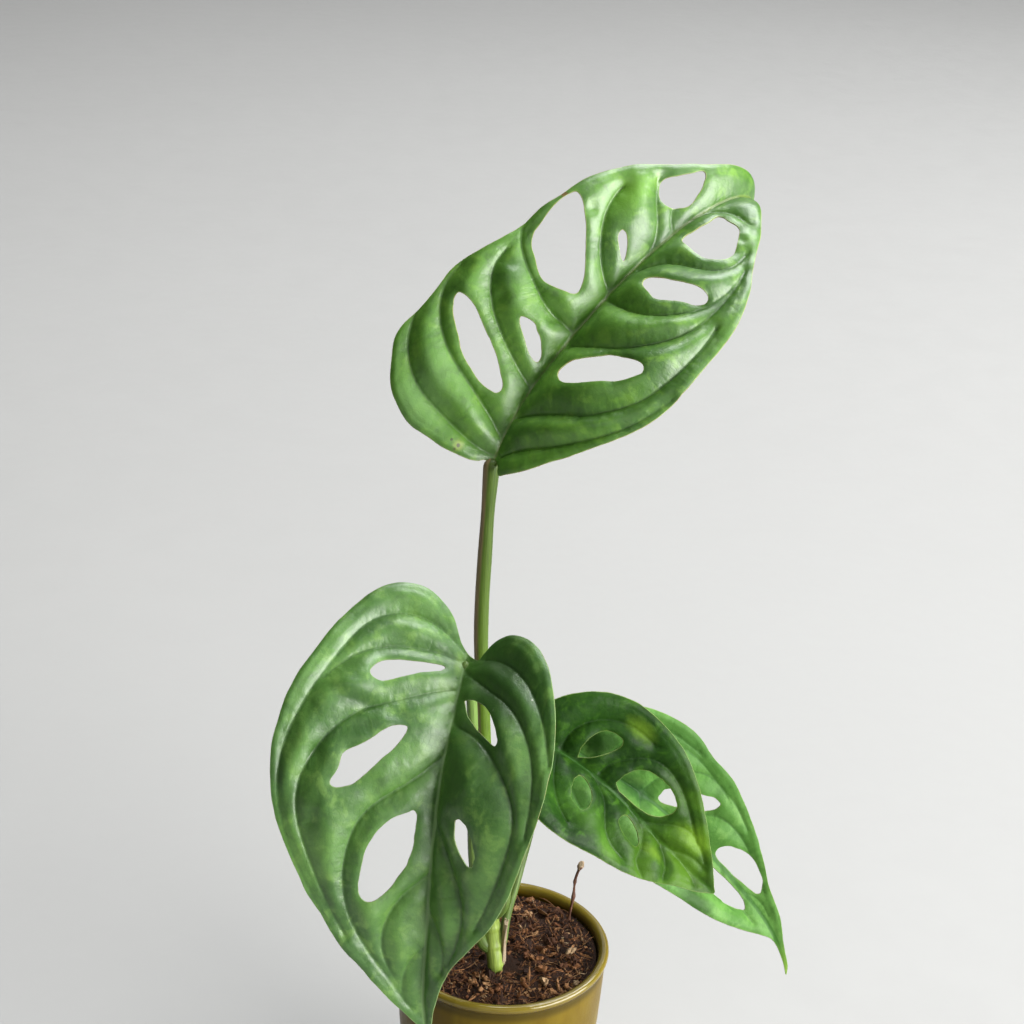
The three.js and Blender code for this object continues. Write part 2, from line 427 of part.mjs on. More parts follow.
function leafSurface(leaf) {
  const midrib = spline(leaf.midrib), facing = spline(leaf.facing);
  const fold = { a: spline(leaf.fold.a), b: spline(leaf.fold.b) };
  const curl = { a: spline(leaf.curl.a), b: spline(leaf.curl.b) };
  const point = (s, t) => {
    const u = s / leaf.length, uc = Math.min(1, Math.max(0, u)), side = t < 0 ? 'a' : 'b';
    const [m, slope] = midrib(u);
    const T = new THREE.Vector3(...slope).normalize();
    const N = new THREE.Vector3(...facing(uc)[0]);
    N.addScaledVector(T, -N.dot(T)).normalize();
    const B = new THREE.Vector3().crossVectors(T, N);
    const phi = rad(fold[side](uc)[0][0]), k = rad(curl[side](uc)[0][0]) || 1e-6, w = Math.abs(t);
    const out = (Math.sin(phi + k * w) - Math.sin(phi)) / k, up = -(Math.cos(phi + k * w) - Math.cos(phi)) / k;
    return new THREE.Vector3(...m).addScaledVector(B, Math.sign(t) * out).addScaledVector(N, up);
  };
  const normal = (s, t) => {
    const e = 0.6;
    const ds = point(s + e, t).sub(point(s - e, t)), dt = point(s, t + e).sub(point(s, t - e));
    return dt.cross(ds).normalize();
  };
  return { point, normal };
}

// Even hexagonal spread of points inside the blade, with rows along the midrib.
function bladePoints(leaf) {
  const out = [], loops = [leaf.margin, ...leaf.holes];
  const free = (q, gap) => inside(leaf.margin, q) && !leaf.holes.some((h) => inside(h, q))
    && loops.every((l) => distance(l, q) > gap);
  for (let s = 1.6; s < leaf.length; s += 5.6) {
    for (const t of [0, -MIDRIB.halfWidth, MIDRIB.halfWidth]) if (free([s, t], 0.45)) out.push([s, t]);
  }
  const rise = MESH_STEP * Math.sqrt(3) / 2;
  for (let row = -6; row * rise < leaf.length; row++) {
    for (let t = -66 + (row % 2 ? MESH_STEP / 2 : 0); t < 66; t += MESH_STEP) {
      const q = [row * rise, t];
      if (Math.abs(t) > MIDRIB.halfWidth + 0.4 * MESH_STEP && free(q, 0.42 * MESH_STEP)) out.push(q);
    }
  }
  return out;
}

function leafGeometry(leaf) {
  const { point, normal } = leafSurface(leaf);
  const { points, faces, loops } = triangulate(leaf.margin, leaf.holes, bladePoints(leaf));
  const n = points.length, position = [];
  const upper = [], lower = [];
  for (const [s, t] of points) {
    const p = point(s, t), m = normal(s, t);
    const rib = MIDRIB.depth * blend(s, 5, 12) * (1 - 0.75 * blend(s, 0.3 * leaf.length, leaf.length))
      * Math.max(0, 1 - Math.abs(t) / MIDRIB.halfWidth);
    upper.push(p.clone().addScaledVector(m, BLADE / 2));
    lower.push(p.clone().addScaledVector(m, -BLADE / 2 - rib));
  }
  for (const p of [...upper, ...lower]) position.push(p.x, p.y, p.z);
  const index = [];
  for (const [a, b, c] of faces) index.push(a, b, c, n + a, n + c, n + b);
  let base = 0;
  for (const l of loops) {
    for (let i = 0; i < l.length; i++) {
      let a = base + i, b = base + (i + 1) % l.length;
      // the wall runs against the direction in which the faces use this edge
      if (!faces.some((f) => [0, 1, 2].some((k) => f[k] === a && f[(k + 1) % 3] === b))) [a, b] = [b, a];
      index.push(b, a, n + a, b, n + a, n + b);
    }
    base += l.length;
  }
  const g = new THREE.BufferGeometry();
  g.setAttribute('position', new THREE.Float32BufferAttribute(position, 3));
  g.setIndex(index);
  return solid(g);
}

// ---------------------------------------------------------------- pot and mix

function wallRadius(z) {        // outer wall, slightly fuller in the middle
  const t = (z - 2.4) / (58.6 - 2.4);
  return POT.wallFoot + (POT.wallTop - POT.wallFoot) * t + 0.7 * Math.sin(Math.PI * Math.min(1, Math.max(0, t)));
}

function potGeometry() {
  const R = POT.rimRadius, H = POT.height;
  const profile = [
    [0, 0], [POT.footRadius, 0], [POT.footRadius + 1.8, 0.7], [POT.wallFoot, 2.6],
    [wallRadius(16), 16], [wallRadius(32), 32], [wallRadius(47), 47], [POT.wallTop, 59], [POT.wallTop - 0.15, 62.6],
    [R - 0.9, 64.1], [R - 0.15, 65.1], [R, 65.9], [R - 0.35, 66.6], [R - 1.1, H - 0.1], [R - 2.1, H],
    [R - 3.1, H - 0.45], [R - 3.6, H - 1.6],
    [POT.wallTop - POT.wall, 57], [wallRadius(32) - POT.wall, 32], [POT.wallFoot - POT.wall - 0.3, 8], [25, POT.floor], [0, POT.floor],
  ];
  return solid(turned(profile, POT.segments));
}

// Lumpy surface of the mix.
const lump = (x, y) => SOIL.relief * (0.5 * Math.sin(0.55 * x + 0.31 * y + 1.1) + 0.35 * Math.sin(-0.42 * x + 0.73 * y + 2.3)
  + 0.3 * Math.sin(0.93 * x - 0.88 * y + 0.4));

function soilGeometry(cutters) {
  const g = CLEARANCE, inner = (z) => POT.wallTop - POT.wall - g - (57 - z) * (POT.wallTop - wallRadius(32)) / 25;
  const top = SOIL.surface;
  const profile = [
    [0, POT.floor + g], [24.8, POT.floor + g], [POT.wallFoot - POT.wall - 0.3 - g, 8.3],
    [wallRadius(32) - POT.wall - g - 0.05, 32], [inner(56), 56], [R0, top - 0.9],
    [27, top], [21.5, top], [16, top], [10.5, top], [5, top], [0, top],
  ];
  const body = turned(profile, SOIL.segments), p = body.attributes.position;
  for (let i = 0; i < p.count; i++) {
    const x = p.getX(i), y = p.getY(i), r = Math.hypot(x, y);
    if (p.getZ(i) > top - 0.5) p.setZ(i, top + lump(x, y) * blend(r, 31.5, 24));
  }
  let mix = toManifold(solid(body));
  for (const c of cutters) mix = mix.subtract(toManifold(c));
  return fromManifold(mix);
}
const R0 = POT.wallTop - POT.wall - CLEARANCE + 0.15;

// ---------------------------------------------------------------- stem and small pieces

function stemGeometry(grow = 0) {
  const a = new THREE.Vector3(...STEM.foot), b = new THREE.Vector3(...STEM.top);
  const length = a.distanceTo(b), profile = [[0, -grow]];
  const stations = [0, 0.03, 0.25, 0.36, 0.42, ...STEM.nodes.flatMap((u) => [u - 0.025, u, u + 0.03]), 0.95, 1];
  for (const u of stations) {
    const swell = STEM.nodes.reduce((s, n) => s + STEM.nodeSwell * Math.exp(-(((u - n) / 0.016) ** 2)), 0);
    const body = STEM.radius * (u < 0.01 ? 0.6 : u < 0.04 ? 0.85 : 0.88 + 0.12 * blend(u, 0.35, 0.55)) * (1 - 0.1 * blend(u, 0.9, 1));
    profile.push([body + swell + grow, u * length + (u === 0 ? -grow : u === 1 ? grow : 0)]);
  }
  profile.push([0, length + grow]);
  const g = turned(profile, 12);
  g.applyQuaternion(new THREE.Quaternion().setFromUnitVectors(new THREE.Vector3(0, 0, 1), b.clone().sub(a).normalize()));
  g.translate(a.x, a.y, a.z);
  return solid(g);
}

function sheathGeometry() {
  const a = new THREE.Vector3(...STEM.foot), b = new THREE.Vector3(...STEM.top);
  const across = 8, tall = 6, position = [], index = [];
  const vertex = (i, j, r) => {
    const v = j / tall, z = SHEATH.foot + SHEATH.height * v;
    const axis = a.clone().lerp(b, (z - a.z) / (b.z - a.z));
    const mid = (SHEATH.from + SHEATH.to) / 2 + 10 * v, half = (SHEATH.to - SHEATH.from) / 2 * (1 - 0.82 * v ** 1.6);
    const angle = rad(mid + half * (2 * i / across - 1)), ripple = 0.25 * (1 + Math.sin(2.1 * i + 3 * v)) * v;
    position.push(axis.x + (r + ripple) * Math.cos(angle), axis.y + (r + ripple) * Math.sin(angle), z);
  };
  for (const r of [SHEATH.inner, SHEATH.inner + SHEATH.thickness])
    for (let j = 0; j <= tall; j++) for (let i = 0; i <= across; i++) vertex(i, j, r);
  const w = across + 1, n = w * (tall + 1), quad = (p, q, r, s) => index.push(p, q, r, p, r, s);
  for (let j = 0; j < tall; j++) for (let i = 0; i < across; i++) {
    const k = j * w + i;
    quad(k, k + w, k + w + 1, k + 1);
    quad(n + k, n + k + 1, n + k + w + 1, n + k + w);
  }
  for (let j = 0; j < tall; j++) {
    const k = j * w, m = k + across;
    quad(k, n + k, n + k + w, k + w);
    quad(m, m + w, n + m + w, n + m);
  }
  for (let i = 0; i < across; i++) {
    const k = tall * w + i;
    quad(i, i + 1, n + i + 1, n + i);
    quad(k, n + k, n + k + 1, k + 1);
  }
  const g = new THREE.BufferGeometry();
  g.setAttribute('position', new THREE.Float32BufferAttribute(position, 3));
  g.setIndex(index);
  return solid(g);
}

// ---------------------------------------------------------------- assembly

const group = new THREE.Group();

function add(name, geometry, [color, roughness], origin = [0, 0, 0], parent = group) {
  geometry.translate(-origin[0], -origin[1], -origin[2]);
  geometry.computeVertexNormals();
  const mesh = new THREE.Mesh(geometry, new THREE.MeshStandardMaterial({ color, roughness, metalness: 0 }));
  mesh.name = name;
  mesh.position.set(...origin);
  parent.add(mesh);
  return mesh;
}

const wide = CLEARANCE / Math.cos(Math.PI / 8);   // an eight-sided bar grown by this clears its own flats
const dryRoot = (grow) => bar(grow ? [[21.9, 18.55, 52.4], ...DRY_ROOT.path.slice(1)] : DRY_ROOT.path, DRY_ROOT.radius + grow, DRY_ROOT.steps, 6);
const rootBar = (path, grow) => {
  const ends = path.map((q) => new THREE.Vector3(...q));
  if (grow) {
    ends[0].addScaledVector(ends[0].clone().sub(ends[1]).normalize(), 0.6);
    ends[3].addScaledVector(ends[3].clone().sub(ends[2]).normalize(), 0.5);
  }
  return bar(ends.map((v) => v.toArray()), ROOTS.radius + grow, ROOTS.steps, 6);
};

// A leaf stalk springs from the stem, so its foot follows the stem's skin.
const shortOfStem = (stalk) => fromManifold(toManifold(stalk).subtract(toManifold(stemGeometry(CLEARANCE))));

add('pot', potGeometry(), COLOURS.pot);
add('soil', soilGeometry([
  stemGeometry(CLEARANCE),
  dryRoot(wide),
  ...Object.values(ROOTS.paths).map((q) => rootBar(q, 0.42)),
]), COLOURS.soil);

const plant = new THREE.Group();
group.add(plant);
add('stem', stemGeometry(), COLOURS.stem, STEM.foot, plant);
for (const [name, path] of Object.entries(ROOTS.paths)) add(name, rootBar(path, 0), COLOURS.root, path[0], plant);
for (const [name, { path, radius, steps }] of Object.entries(PETIOLES)) {
  add(name, shortOfStem(bar(path, radius, steps)), COLOURS.petiole, path[0], plant);
}
for (const [name, leaf] of Object.entries(LEAVES)) {
  add(name, leafGeometry(leaf), name === 'leaf_right_back' ? COLOURS.youngLeaf : COLOURS.leaf, leaf.midrib[0], plant);
}
add('sheath', sheathGeometry(), COLOURS.sheath, [0, 0, SHEATH.foot], plant);
add('dry_root', dryRoot(0), COLOURS.dryRoot, DRY_ROOT.path[0]);

export default group;
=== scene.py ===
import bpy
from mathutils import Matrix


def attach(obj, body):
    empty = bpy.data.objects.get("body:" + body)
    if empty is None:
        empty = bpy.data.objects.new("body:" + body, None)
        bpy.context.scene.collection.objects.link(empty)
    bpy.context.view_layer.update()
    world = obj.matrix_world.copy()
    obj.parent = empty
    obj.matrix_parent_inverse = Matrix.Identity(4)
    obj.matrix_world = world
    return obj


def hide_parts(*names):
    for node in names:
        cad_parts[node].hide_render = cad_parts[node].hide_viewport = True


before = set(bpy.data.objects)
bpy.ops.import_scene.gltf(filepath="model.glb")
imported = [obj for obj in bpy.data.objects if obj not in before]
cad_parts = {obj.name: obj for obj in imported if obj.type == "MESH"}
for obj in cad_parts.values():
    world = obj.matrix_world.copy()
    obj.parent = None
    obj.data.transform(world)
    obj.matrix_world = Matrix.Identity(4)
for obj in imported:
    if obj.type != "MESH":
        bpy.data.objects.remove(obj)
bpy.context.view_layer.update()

import math
import bpy
import numpy as np
from mathutils import Vector, Matrix, noise
from mathutils.geometry import delaunay_2d_cdt

# Monstera adansonii in a small glazed pot. Lengths below are millimetres in the CAD frame; meshes are made in metres.
MM = 0.001
BODY = "root"
rng = np.random.default_rng(20817)

# ---------------------------------------------------------------- leaf drawings
# A leaf is drawn flat as [s, t]: s along the midrib, t across it. "midrib" and "facing" are nine knots of the
# curve through space and of the direction the upper face looks; "fold" and "curl" (degrees, degrees per mm)
# open the blade like a shallow V with curling arms, for side a (t < 0) and side b (t > 0).
LEAVES = {
    "leaf_upper": dict(
        length=147.87,
        midrib=[[-9.08, -1.97, 240.59], [-1.7, 5.88, 255.55], [8.28, 13.3, 269.23], [19.39, 20.8, 281.94], [31.32, 29.02, 293.41],
        [44.01, 38.55, 302.84], [57.14, 50.05, 308.74], [68.09, 64.28, 306.78], [68.26, 76.03, 293.28]],
        facing=[[-0.11, -0.86, 0.498], [-0.095, -0.855, 0.51], [-0.066, -0.847, 0.527], [-0.029, -0.831, 0.556],
        [0.05, -0.796, 0.604], [0.148, -0.722, 0.676], [0.361, -0.534, 0.765], [0.78, 0.06, 0.623], [0.847, 0.493, 0.2]],
        fold_a=[20, 22.31, 23.75, 24.31, 24, 23, 25, 31, 34], fold_b=[40, 43.12, 44.5, 44.12, 42, 38.12, 32.5, 25.13, 16],
        curl_a=[-0.7, -0.759, -0.812, -0.859, -0.9, -0.9, -0.8, -0.5, -0.4], curl_b=[-0.8, -0.853, -0.888, -0.903, -0.9, -0.878, -0.838, -0.778, -0.7],
        margin=[[0.5, 0], [0.5, -2.9], [-0.6, -4.6], [-1.3, -7.1], [-1.4, -9.4], [-1.4, -11.8], [-1.4, -14.2], [-1.2, -16.6],
        [-0.7, -18.9], [-0.2, -21.2], [0.2, -23.6], [0.6, -25.9], [1.4, -28.1], [2.6, -30.2], [4, -32.1], [5.5, -34],
        [7, -35.8], [8.7, -37.4], [10.6, -38.8], [12.7, -40], [14.8, -41.2], [16.8, -42.5], [18.8, -43.5], [21.1, -43.6],
        [23.4, -43], [25.6, -42.3], [27.9, -41.7], [30.3, -41.5], [32.7, -41.5], [35, -41.6], [37.4, -41.8], [39.8, -41.6],
        [42, -41], [44.2, -40], [46.3, -38.9], [48.5, -37.9], [50.7, -37], [52.9, -36.1], [55.1, -35.3], [57.4, -34.5],
        [59.7, -33.9], [62, -33.4], [64.3, -33.2], [66.7, -33], [69, -32.5], [71.3, -31.8], [73.6, -31.2], [76, -30.8],
        [78.3, -30.4], [80.7, -29.9], [82.9, -29.1], [85.1, -28.2], [87.3, -27.3], [89.4, -26.2], [91.5, -25.1],
        [93.6, -23.9], [95.6, -22.6], [97.5, -21.2], [99.5, -19.9], [101.5, -18.5], [103.4, -17.1], [105.5, -15.9],
        [107.6, -14.8], [109.7, -13.6], [111.8, -12.6], [114.1, -11.8], [116.3, -11.1], [118.7, -10.5], [121, -9.9],
        [123.3, -9.3], [125.6, -8.7], [127.9, -8], [130.1, -7.2], [132.4, -6.4], [134.5, -5.4], [136.7, -4.5],
        [138.9, -3.5], [141.1, -2.6], [143.3, -1.7], [145.6, -0.9], [147.8, 0], [145.4, 0.5], [143.1, 1], [140.7, 1.5],
        [138.3, 2], [136, 2.5], [133.6, 3], [131.3, 3.6], [128.9, 4.2], [126.6, 4.8], [124.3, 5.4], [122.2, 6.3],
        [120.3, 7.7], [118.5, 9.4], [116.8, 11.1], [115.1, 12.8], [113.4, 14.5], [111.7, 16.2], [109.9, 17.8],
        [108.1, 19.4], [106.2, 21], [104.3, 22.4], [102.3, 23.8], [100.4, 25.2], [98.4, 26.6], [96.5, 28], [94.5, 29.5],
        [92.7, 31], [90.8, 32.5], [88.8, 33.9], [86.7, 35.1], [84.6, 36.3], [82.5, 37.4], [80.3, 38.4], [78.1, 39.3],
        [75.8, 40.1], [73.4, 40.7], [71.1, 41.2], [68.7, 41.6], [66.3, 42], [63.9, 42.2], [61.5, 42.4], [59.1, 42.7],
        [56.7, 42.9], [54.3, 43.1], [51.9, 43.2], [49.5, 43.1], [47.1, 43.1], [44.7, 42.9], [42.3, 42.5], [39.9, 42.1],
        [37.6, 41.5], [35.3, 40.8], [33.1, 39.9], [30.9, 38.9], [28.7, 37.9], [26.6, 36.8], [24.4, 35.7], [22.3, 34.5],
        [20.3, 33.2], [18.3, 31.9], [16.3, 30.5], [14.4, 29], [12.6, 27.4], [10.8, 25.8], [9.2, 24], [7.7, 22.1],
        [6.2, 20.2], [4.7, 18.3], [3.2, 16.4], [1.8, 14.4], [0.6, 12.4], [-0.5, 10.2], [-1.4, 8], [-2.4, 5.8], [-1.5, 4.4],
        [0.5, 2.9]],
        holes=[
            [[34.9, -34.9], [33.1, -35], [31.7, -34.1], [30.4, -33.1], [29.2, -31.8], [28.2, -30.4], [27.2, -29.1],
            [26.2, -27.6], [25.2, -26.3], [24, -25], [23.1, -23.6], [22.3, -22.1], [21.6, -20.5], [21, -18.9], [20.3, -17.3],
            [19.7, -15.8], [19.2, -14.1], [18.9, -12.4], [18.8, -10.7], [18.9, -9], [20.1, -8.1], [21.6, -8.4], [22.9, -9.5],
            [24, -10.8], [25.2, -12], [26.3, -13.3], [27.4, -14.7], [28.3, -16.1], [29.1, -17.6], [30, -19.1], [30.6, -20.6],
            [31.4, -22.2], [32.2, -23.7], [33, -25.2], [33.8, -26.7], [34.5, -28.2], [35, -29.9], [35.3, -31.6], [35.3, -33.3]],
            [[40, -16.3], [38.6, -15.5], [37.6, -14.2], [36.6, -12.7], [35.7, -11.3], [34.7, -9.9], [33.8, -8.5], [33.1, -7],
            [32.6, -5.3], [33, -3.9], [34.6, -3.9], [36, -4.8], [37.2, -6], [38.4, -7.2], [39.3, -8.6], [40, -10.2],
            [41, -11.5], [41.1, -13.2], [40.8, -14.8]],
            [[66.1, -30.2], [64.4, -29.9], [62.7, -29.7], [61, -29.6], [59.4, -28.9], [58, -27.9], [56.9, -26.6], [56.1, -25.1],
            [55.2, -23.6], [54.2, -22.2], [53.3, -20.8], [52.6, -19.2], [52.2, -17.6], [52.4, -15.9], [52.8, -14.2],
            [53.3, -12.6], [53.9, -11], [54.5, -9.4], [55.7, -8.2], [57.3, -8.2], [58.9, -8.9], [60.4, -9.7], [61.8, -10.7],
            [63.1, -11.8], [64.4, -12.9], [65.7, -14.1], [67, -15.2], [68.2, -16.4], [69.5, -17.6], [70.7, -18.8],
            [71.8, -20.1], [72.8, -21.5], [73.8, -22.9], [74.8, -24.3], [75.6, -25.8], [76.1, -27.4], [76, -28.9],
            [74.5, -29.7], [72.9, -30.3], [71.2, -30.5], [69.5, -30.5], [67.8, -30.4]],
            [[78, -11.8], [76.4, -11.4], [75.2, -10.3], [74.2, -8.9], [73.3, -7.5], [72.5, -6], [72.5, -4.5], [74, -5.2],
            [75.3, -6.3], [76.5, -7.5], [77.5, -8.8], [78.3, -10.3]],
            [[108, -11.9], [106.3, -12.2], [104.7, -12.7], [103.1, -13.3], [101.5, -13.9], [100, -14.7], [98.5, -15.3],
            [96.9, -14.8], [95.7, -13.6], [94.6, -12.3], [94, -10.8], [94, -9.1], [94.7, -7.6], [95.9, -6.4], [97.3, -5.5],
            [98.8, -4.7], [100.5, -4.4], [102.1, -4.8], [103.6, -5.5], [105.2, -6.2], [106.6, -7.1], [107.8, -8.3], [109, -9.5],
            [109.5, -11.1]],
            [[46.3, 17], [45.1, 15.8], [43.9, 14.6], [42.8, 13.3], [41.6, 12], [40.3, 10.8], [39.2, 9.6], [37.8, 8.6],
            [36.2, 7.9], [34.6, 7.6], [33, 8.2], [32.1, 9.7], [31.6, 11.2], [31.7, 12.9], [32.3, 14.5], [33, 16.1],
            [33.9, 17.5], [34.9, 18.9], [36, 20.3], [37, 21.6], [38.1, 23], [39.1, 24.4], [40.1, 25.8], [41.3, 27],
            [42.6, 28.1], [44, 29.1], [45.5, 30], [47, 30.7], [48.6, 30.1], [49.1, 28.6], [49, 26.9], [48.7, 25.2],
            [48.4, 23.6], [47.9, 21.9], [47.5, 20.2], [47, 18.6]],
            [[72, 9.8], [70.5, 9.5], [69.2, 10.6], [68.6, 12.2], [68.3, 13.9], [68, 15.6], [68.4, 17.2], [69.3, 18.6],
            [70.3, 20.1], [71.3, 21.4], [72.3, 22.8], [73.3, 24.2], [74.2, 25.7], [75.5, 26.8], [77, 27.6], [78.6, 27.2],
            [78.7, 25.5], [78.4, 23.8], [77.8, 22.2], [77.1, 20.7], [76.5, 19.1], [75.8, 17.5], [75.2, 15.9], [74.6, 14.3],
            [73.9, 12.7], [73.1, 11.2]],
            [[103.7, 6.5], [102, 6.5], [100.4, 6.8], [98.7, 6.8], [97.1, 6.4], [95.4, 6.1], [93.8, 5.7], [92.3, 5], [90.7, 5],
            [89.4, 5.8], [88.6, 7.3], [88.3, 9], [88.1, 10.7], [87.9, 12.3], [88, 14], [88.2, 15.7], [88.9, 17.2], [89.9, 18.5],
            [91.1, 19.7], [92.5, 20.6], [94.1, 20.8], [95.8, 20.7], [97.3, 20], [98.7, 19.1], [100.1, 18.1], [101.4, 17.1],
            [102.7, 16], [103.6, 14.6], [104.1, 13.1], [103.9, 11.4], [103.9, 9.8], [104.2, 8.1]],
        ],
        veins=[
            [[2.8, 0.5], [2.9, -4.6], [3.9, -9.7], [5.4, -14.7], [7.1, -19.6], [8.8, -24.5], [10.9, -29.3], [13.7, -33.7],
            [17.1, -37.6], [21.2, -40.7], [26.1, -42.4], [31.3, -42.6]],
            [[8.6, -1.4], [11.7, -5.3], [14.1, -9.6], [16.4, -14.1], [18.3, -18.7], [20.1, -23.4], [22.2, -27.9], [24.8, -32.2],
            [28, -36], [32, -38.9], [36.7, -40.3], [41.7, -40]],
            [[25.7, -0.9], [27.5, -5.5], [29.6, -10.1], [31.6, -14.6], [34, -19], [36.6, -23.2], [39.8, -27], [43.6, -30.2],
            [48.1, -32.2], [53, -32.4]],
            [[46.7, -1.7], [46.8, -6.4], [47.1, -11.1], [48.5, -15.6], [50.4, -20], [52.4, -24.3], [54.8, -28.4], [57.9, -31.9],
            [61.9, -34.4]],
            [[63.3, -1.7], [65.9, -6.4], [69.1, -10.6], [72.9, -14.4], [77.1, -17.6], [81.9, -19.9], [87.1, -21]],
            [[81.2, -0.8], [86.1, -3.5], [89.9, -7.5], [93.2, -12.1], [97, -16.2]],
            [[90.4, 0.2], [92, -2.9], [94.3, -5.5], [97.5, -6.9]],
            [[2.8, 1.9], [5.6, 6.3], [8.1, 10.8], [10.2, 15.5], [12.5, 20.1], [15.5, 24.2], [19, 28.1], [23, 31.3],
            [27.2, 34.3], [31.6, 36.9], [36.4, 39], [41.2, 40.7], [46.2, 41.8]],
            [[15.2, 0.6], [17.7, 5], [19.9, 9.6], [22.1, 14.1], [24.3, 18.7], [26.5, 23.3], [30, 27], [33.7, 30.4],
            [37.8, 33.4], [42.3, 35.7], [47.2, 36.9], [52.2, 37.8], [57.3, 38.1], [62.3, 38], [67.3, 37.4], [72.3, 36.2]],
            [[39.2, -0.9], [42.8, 2.8], [44.9, 7.5], [47.1, 12.2], [49.3, 16.9], [52.2, 21.1], [55.7, 24.9], [59.7, 28.1],
            [64.3, 30.5], [69.3, 31.7], [74.5, 31.9], [79.6, 31.6], [84.7, 30.7], [89.7, 29.2]],
            [[60.7, -0.1], [60.8, 4.8], [61.1, 9.6], [62.1, 14.3], [64.1, 18.7], [67, 22.5], [70.6, 25.7], [74.8, 28.2],
            [79.4, 29.5], [84.2, 29.6], [89, 29], [93.6, 27.5]],
            [[74, 2.5], [78.2, 5.3], [81.4, 9.3], [83.4, 14], [85.5, 18.6], [88.8, 22.4], [93.6, 23.8], [98.6, 22.9]],
            [[98.1, -0.1], [103.2, 0.9], [107.4, 3.7], [109.6, 8.3], [109.1, 13.5]],
        ],
    ),
    "leaf_left": dict(
        length=132.42,
        midrib=[[-14.22, -20, 184.68], [-16.73, -32.73, 174.51], [-19.42, -42.31, 161.33], [-21.14, -48.98, 146.31],
        [-21.98, -53.26, 130.36], [-22.49, -55.86, 114.02], [-22.99, -57.38, 97.55], [-22.76, -58.21, 81.03],
        [-19.38, -58.3, 64.89]],
        facing=[[-0.048, -0.57, 0.82], [-0.072, -0.702, 0.709], [-0.117, -0.86, 0.497], [-0.126, -0.935, 0.333],
        [-0.121, -0.972, 0.204], [-0.12, -0.985, 0.122], [-0.122, -0.99, 0.074], [-0.021, -1, 0.023],
        [0.091, -0.996, 0.019]],
        fold_a=[36, 36.75, 37, 36.75, 36, 34.75, 33, 30.75, 28], fold_b=[18, 18.38, 18.5, 18.38, 18, 17.38, 16.5, 15.38, 14],
        curl_a=[-0.6, -0.6, -0.6, -0.6, -0.6, -0.6, -0.6, -0.6, -0.6], curl_b=[-0.35, -0.35, -0.35, -0.35, -0.35, -0.35, -0.35, -0.35, -0.35],
        margin=[[-1.1, -0.3], [-2.7, 1.4], [-4.5, 2.9], [-6.6, 4.1], [-8.7, 5.2], [-10.8, 6.4], [-12.7, 7.8], [-14.4, 9.4],
        [-15.9, 11.3], [-17.2, 13.3], [-18.2, 15.4], [-18.8, 17.7], [-19, 20.1], [-18.8, 22.5], [-18.3, 24.8],
        [-17.4, 26.9], [-16.1, 29], [-14.6, 30.8], [-12.9, 32.5], [-11.1, 34.1], [-9.2, 35.5], [-7.2, 36.9], [-5.2, 38.1],
        [-3.1, 39.3], [-1.1, 40.5], [1.1, 41.5], [3.3, 42.5], [5.5, 43.4], [7.7, 44.3], [9.9, 45.2], [12.2, 46.1],
        [14.4, 47], [16.6, 47.9], [18.9, 48.6], [21.2, 49.2], [23.5, 49.9], [25.8, 50.3], [28.2, 50.6], [30.6, 50.8],
        [32.9, 51.1], [35.3, 51.3], [37.7, 51.2], [40.1, 50.9], [42.5, 50.6], [44.8, 50.1], [47.2, 49.6], [49.5, 49],
        [51.7, 48.2], [54, 47.4], [56.1, 46.4], [58.3, 45.3], [60.4, 44.2], [62.5, 43.1], [64.6, 42], [66.7, 40.9],
        [68.8, 39.7], [71, 38.6], [73.1, 37.6], [75.2, 36.4], [77.2, 35], [79.1, 33.7], [81.1, 32.3], [83.2, 31.1],
        [85.2, 29.9], [87.3, 28.6], [89.2, 27.3], [91.2, 25.9], [93.1, 24.4], [94.9, 22.9], [96.7, 21.2], [98.5, 19.7],
        [100.3, 18.1], [102.2, 16.6], [103.9, 15], [105.7, 13.4], [107.5, 11.8], [109.3, 10.2], [111, 8.6], [112.8, 6.9],
        [114.6, 5.4], [116.5, 4], [118.5, 2.7], [120.7, 1.7], [122.9, 0.9], [125.3, 0.4], [127.6, 0], [130, -0.2],
        [133.2, 0.1], [130.8, -0.5], [128.5, -1], [126.2, -1.3], [123.8, -1.6], [121.5, -2], [119.1, -2.5], [116.8, -3],
        [114.5, -3.6], [112.2, -4.2], [109.9, -4.9], [107.6, -5.6], [105.3, -6.3], [103, -7.1], [100.8, -7.8], [98.5, -8.6],
        [96.3, -9.4], [94.2, -10.5], [92.2, -11.9], [90.3, -13.2], [88.4, -14.7], [86.4, -16.1], [84.5, -17.5],
        [82.6, -18.9], [80.7, -20.3], [78.8, -21.7], [76.8, -23], [74.7, -24.2], [72.6, -25.3], [70.5, -26.4],
        [68.3, -27.5], [66.2, -28.5], [64, -29.3], [61.7, -30.1], [59.4, -30.8], [57.1, -31.5], [54.9, -32.2],
        [52.6, -32.9], [50.3, -33.6], [48, -34.2], [45.7, -34.9], [43.4, -35.5], [41.1, -36], [38.7, -36.5], [36.4, -36.9],
        [34, -37], [31.6, -37.1], [29.2, -37.2], [26.9, -37], [24.5, -36.7], [22.1, -36.3], [19.8, -35.8], [17.5, -35.1],
        [15.3, -34.4], [13.1, -33.5], [10.9, -32.5], [8.7, -31.5], [6.6, -30.5], [4.5, -29.2], [2.6, -27.9], [0.7, -26.5],
        [-1, -24.8], [-2.5, -23], [-3.7, -21], [-4.6, -18.8], [-5.1, -16.5], [-5.1, -14.2], [-4.4, -12], [-3.2, -10.1],
        [-1.6, -8.3], [-0.1, -6.4], [1.4, -4.5]],
        holes=[
            [[7.3, 21.8], [7.8, 23.4], [8.6, 24.9], [9.8, 26.1], [11.2, 27], [12.8, 27.6], [14, 26.9], [14.6, 25.4],
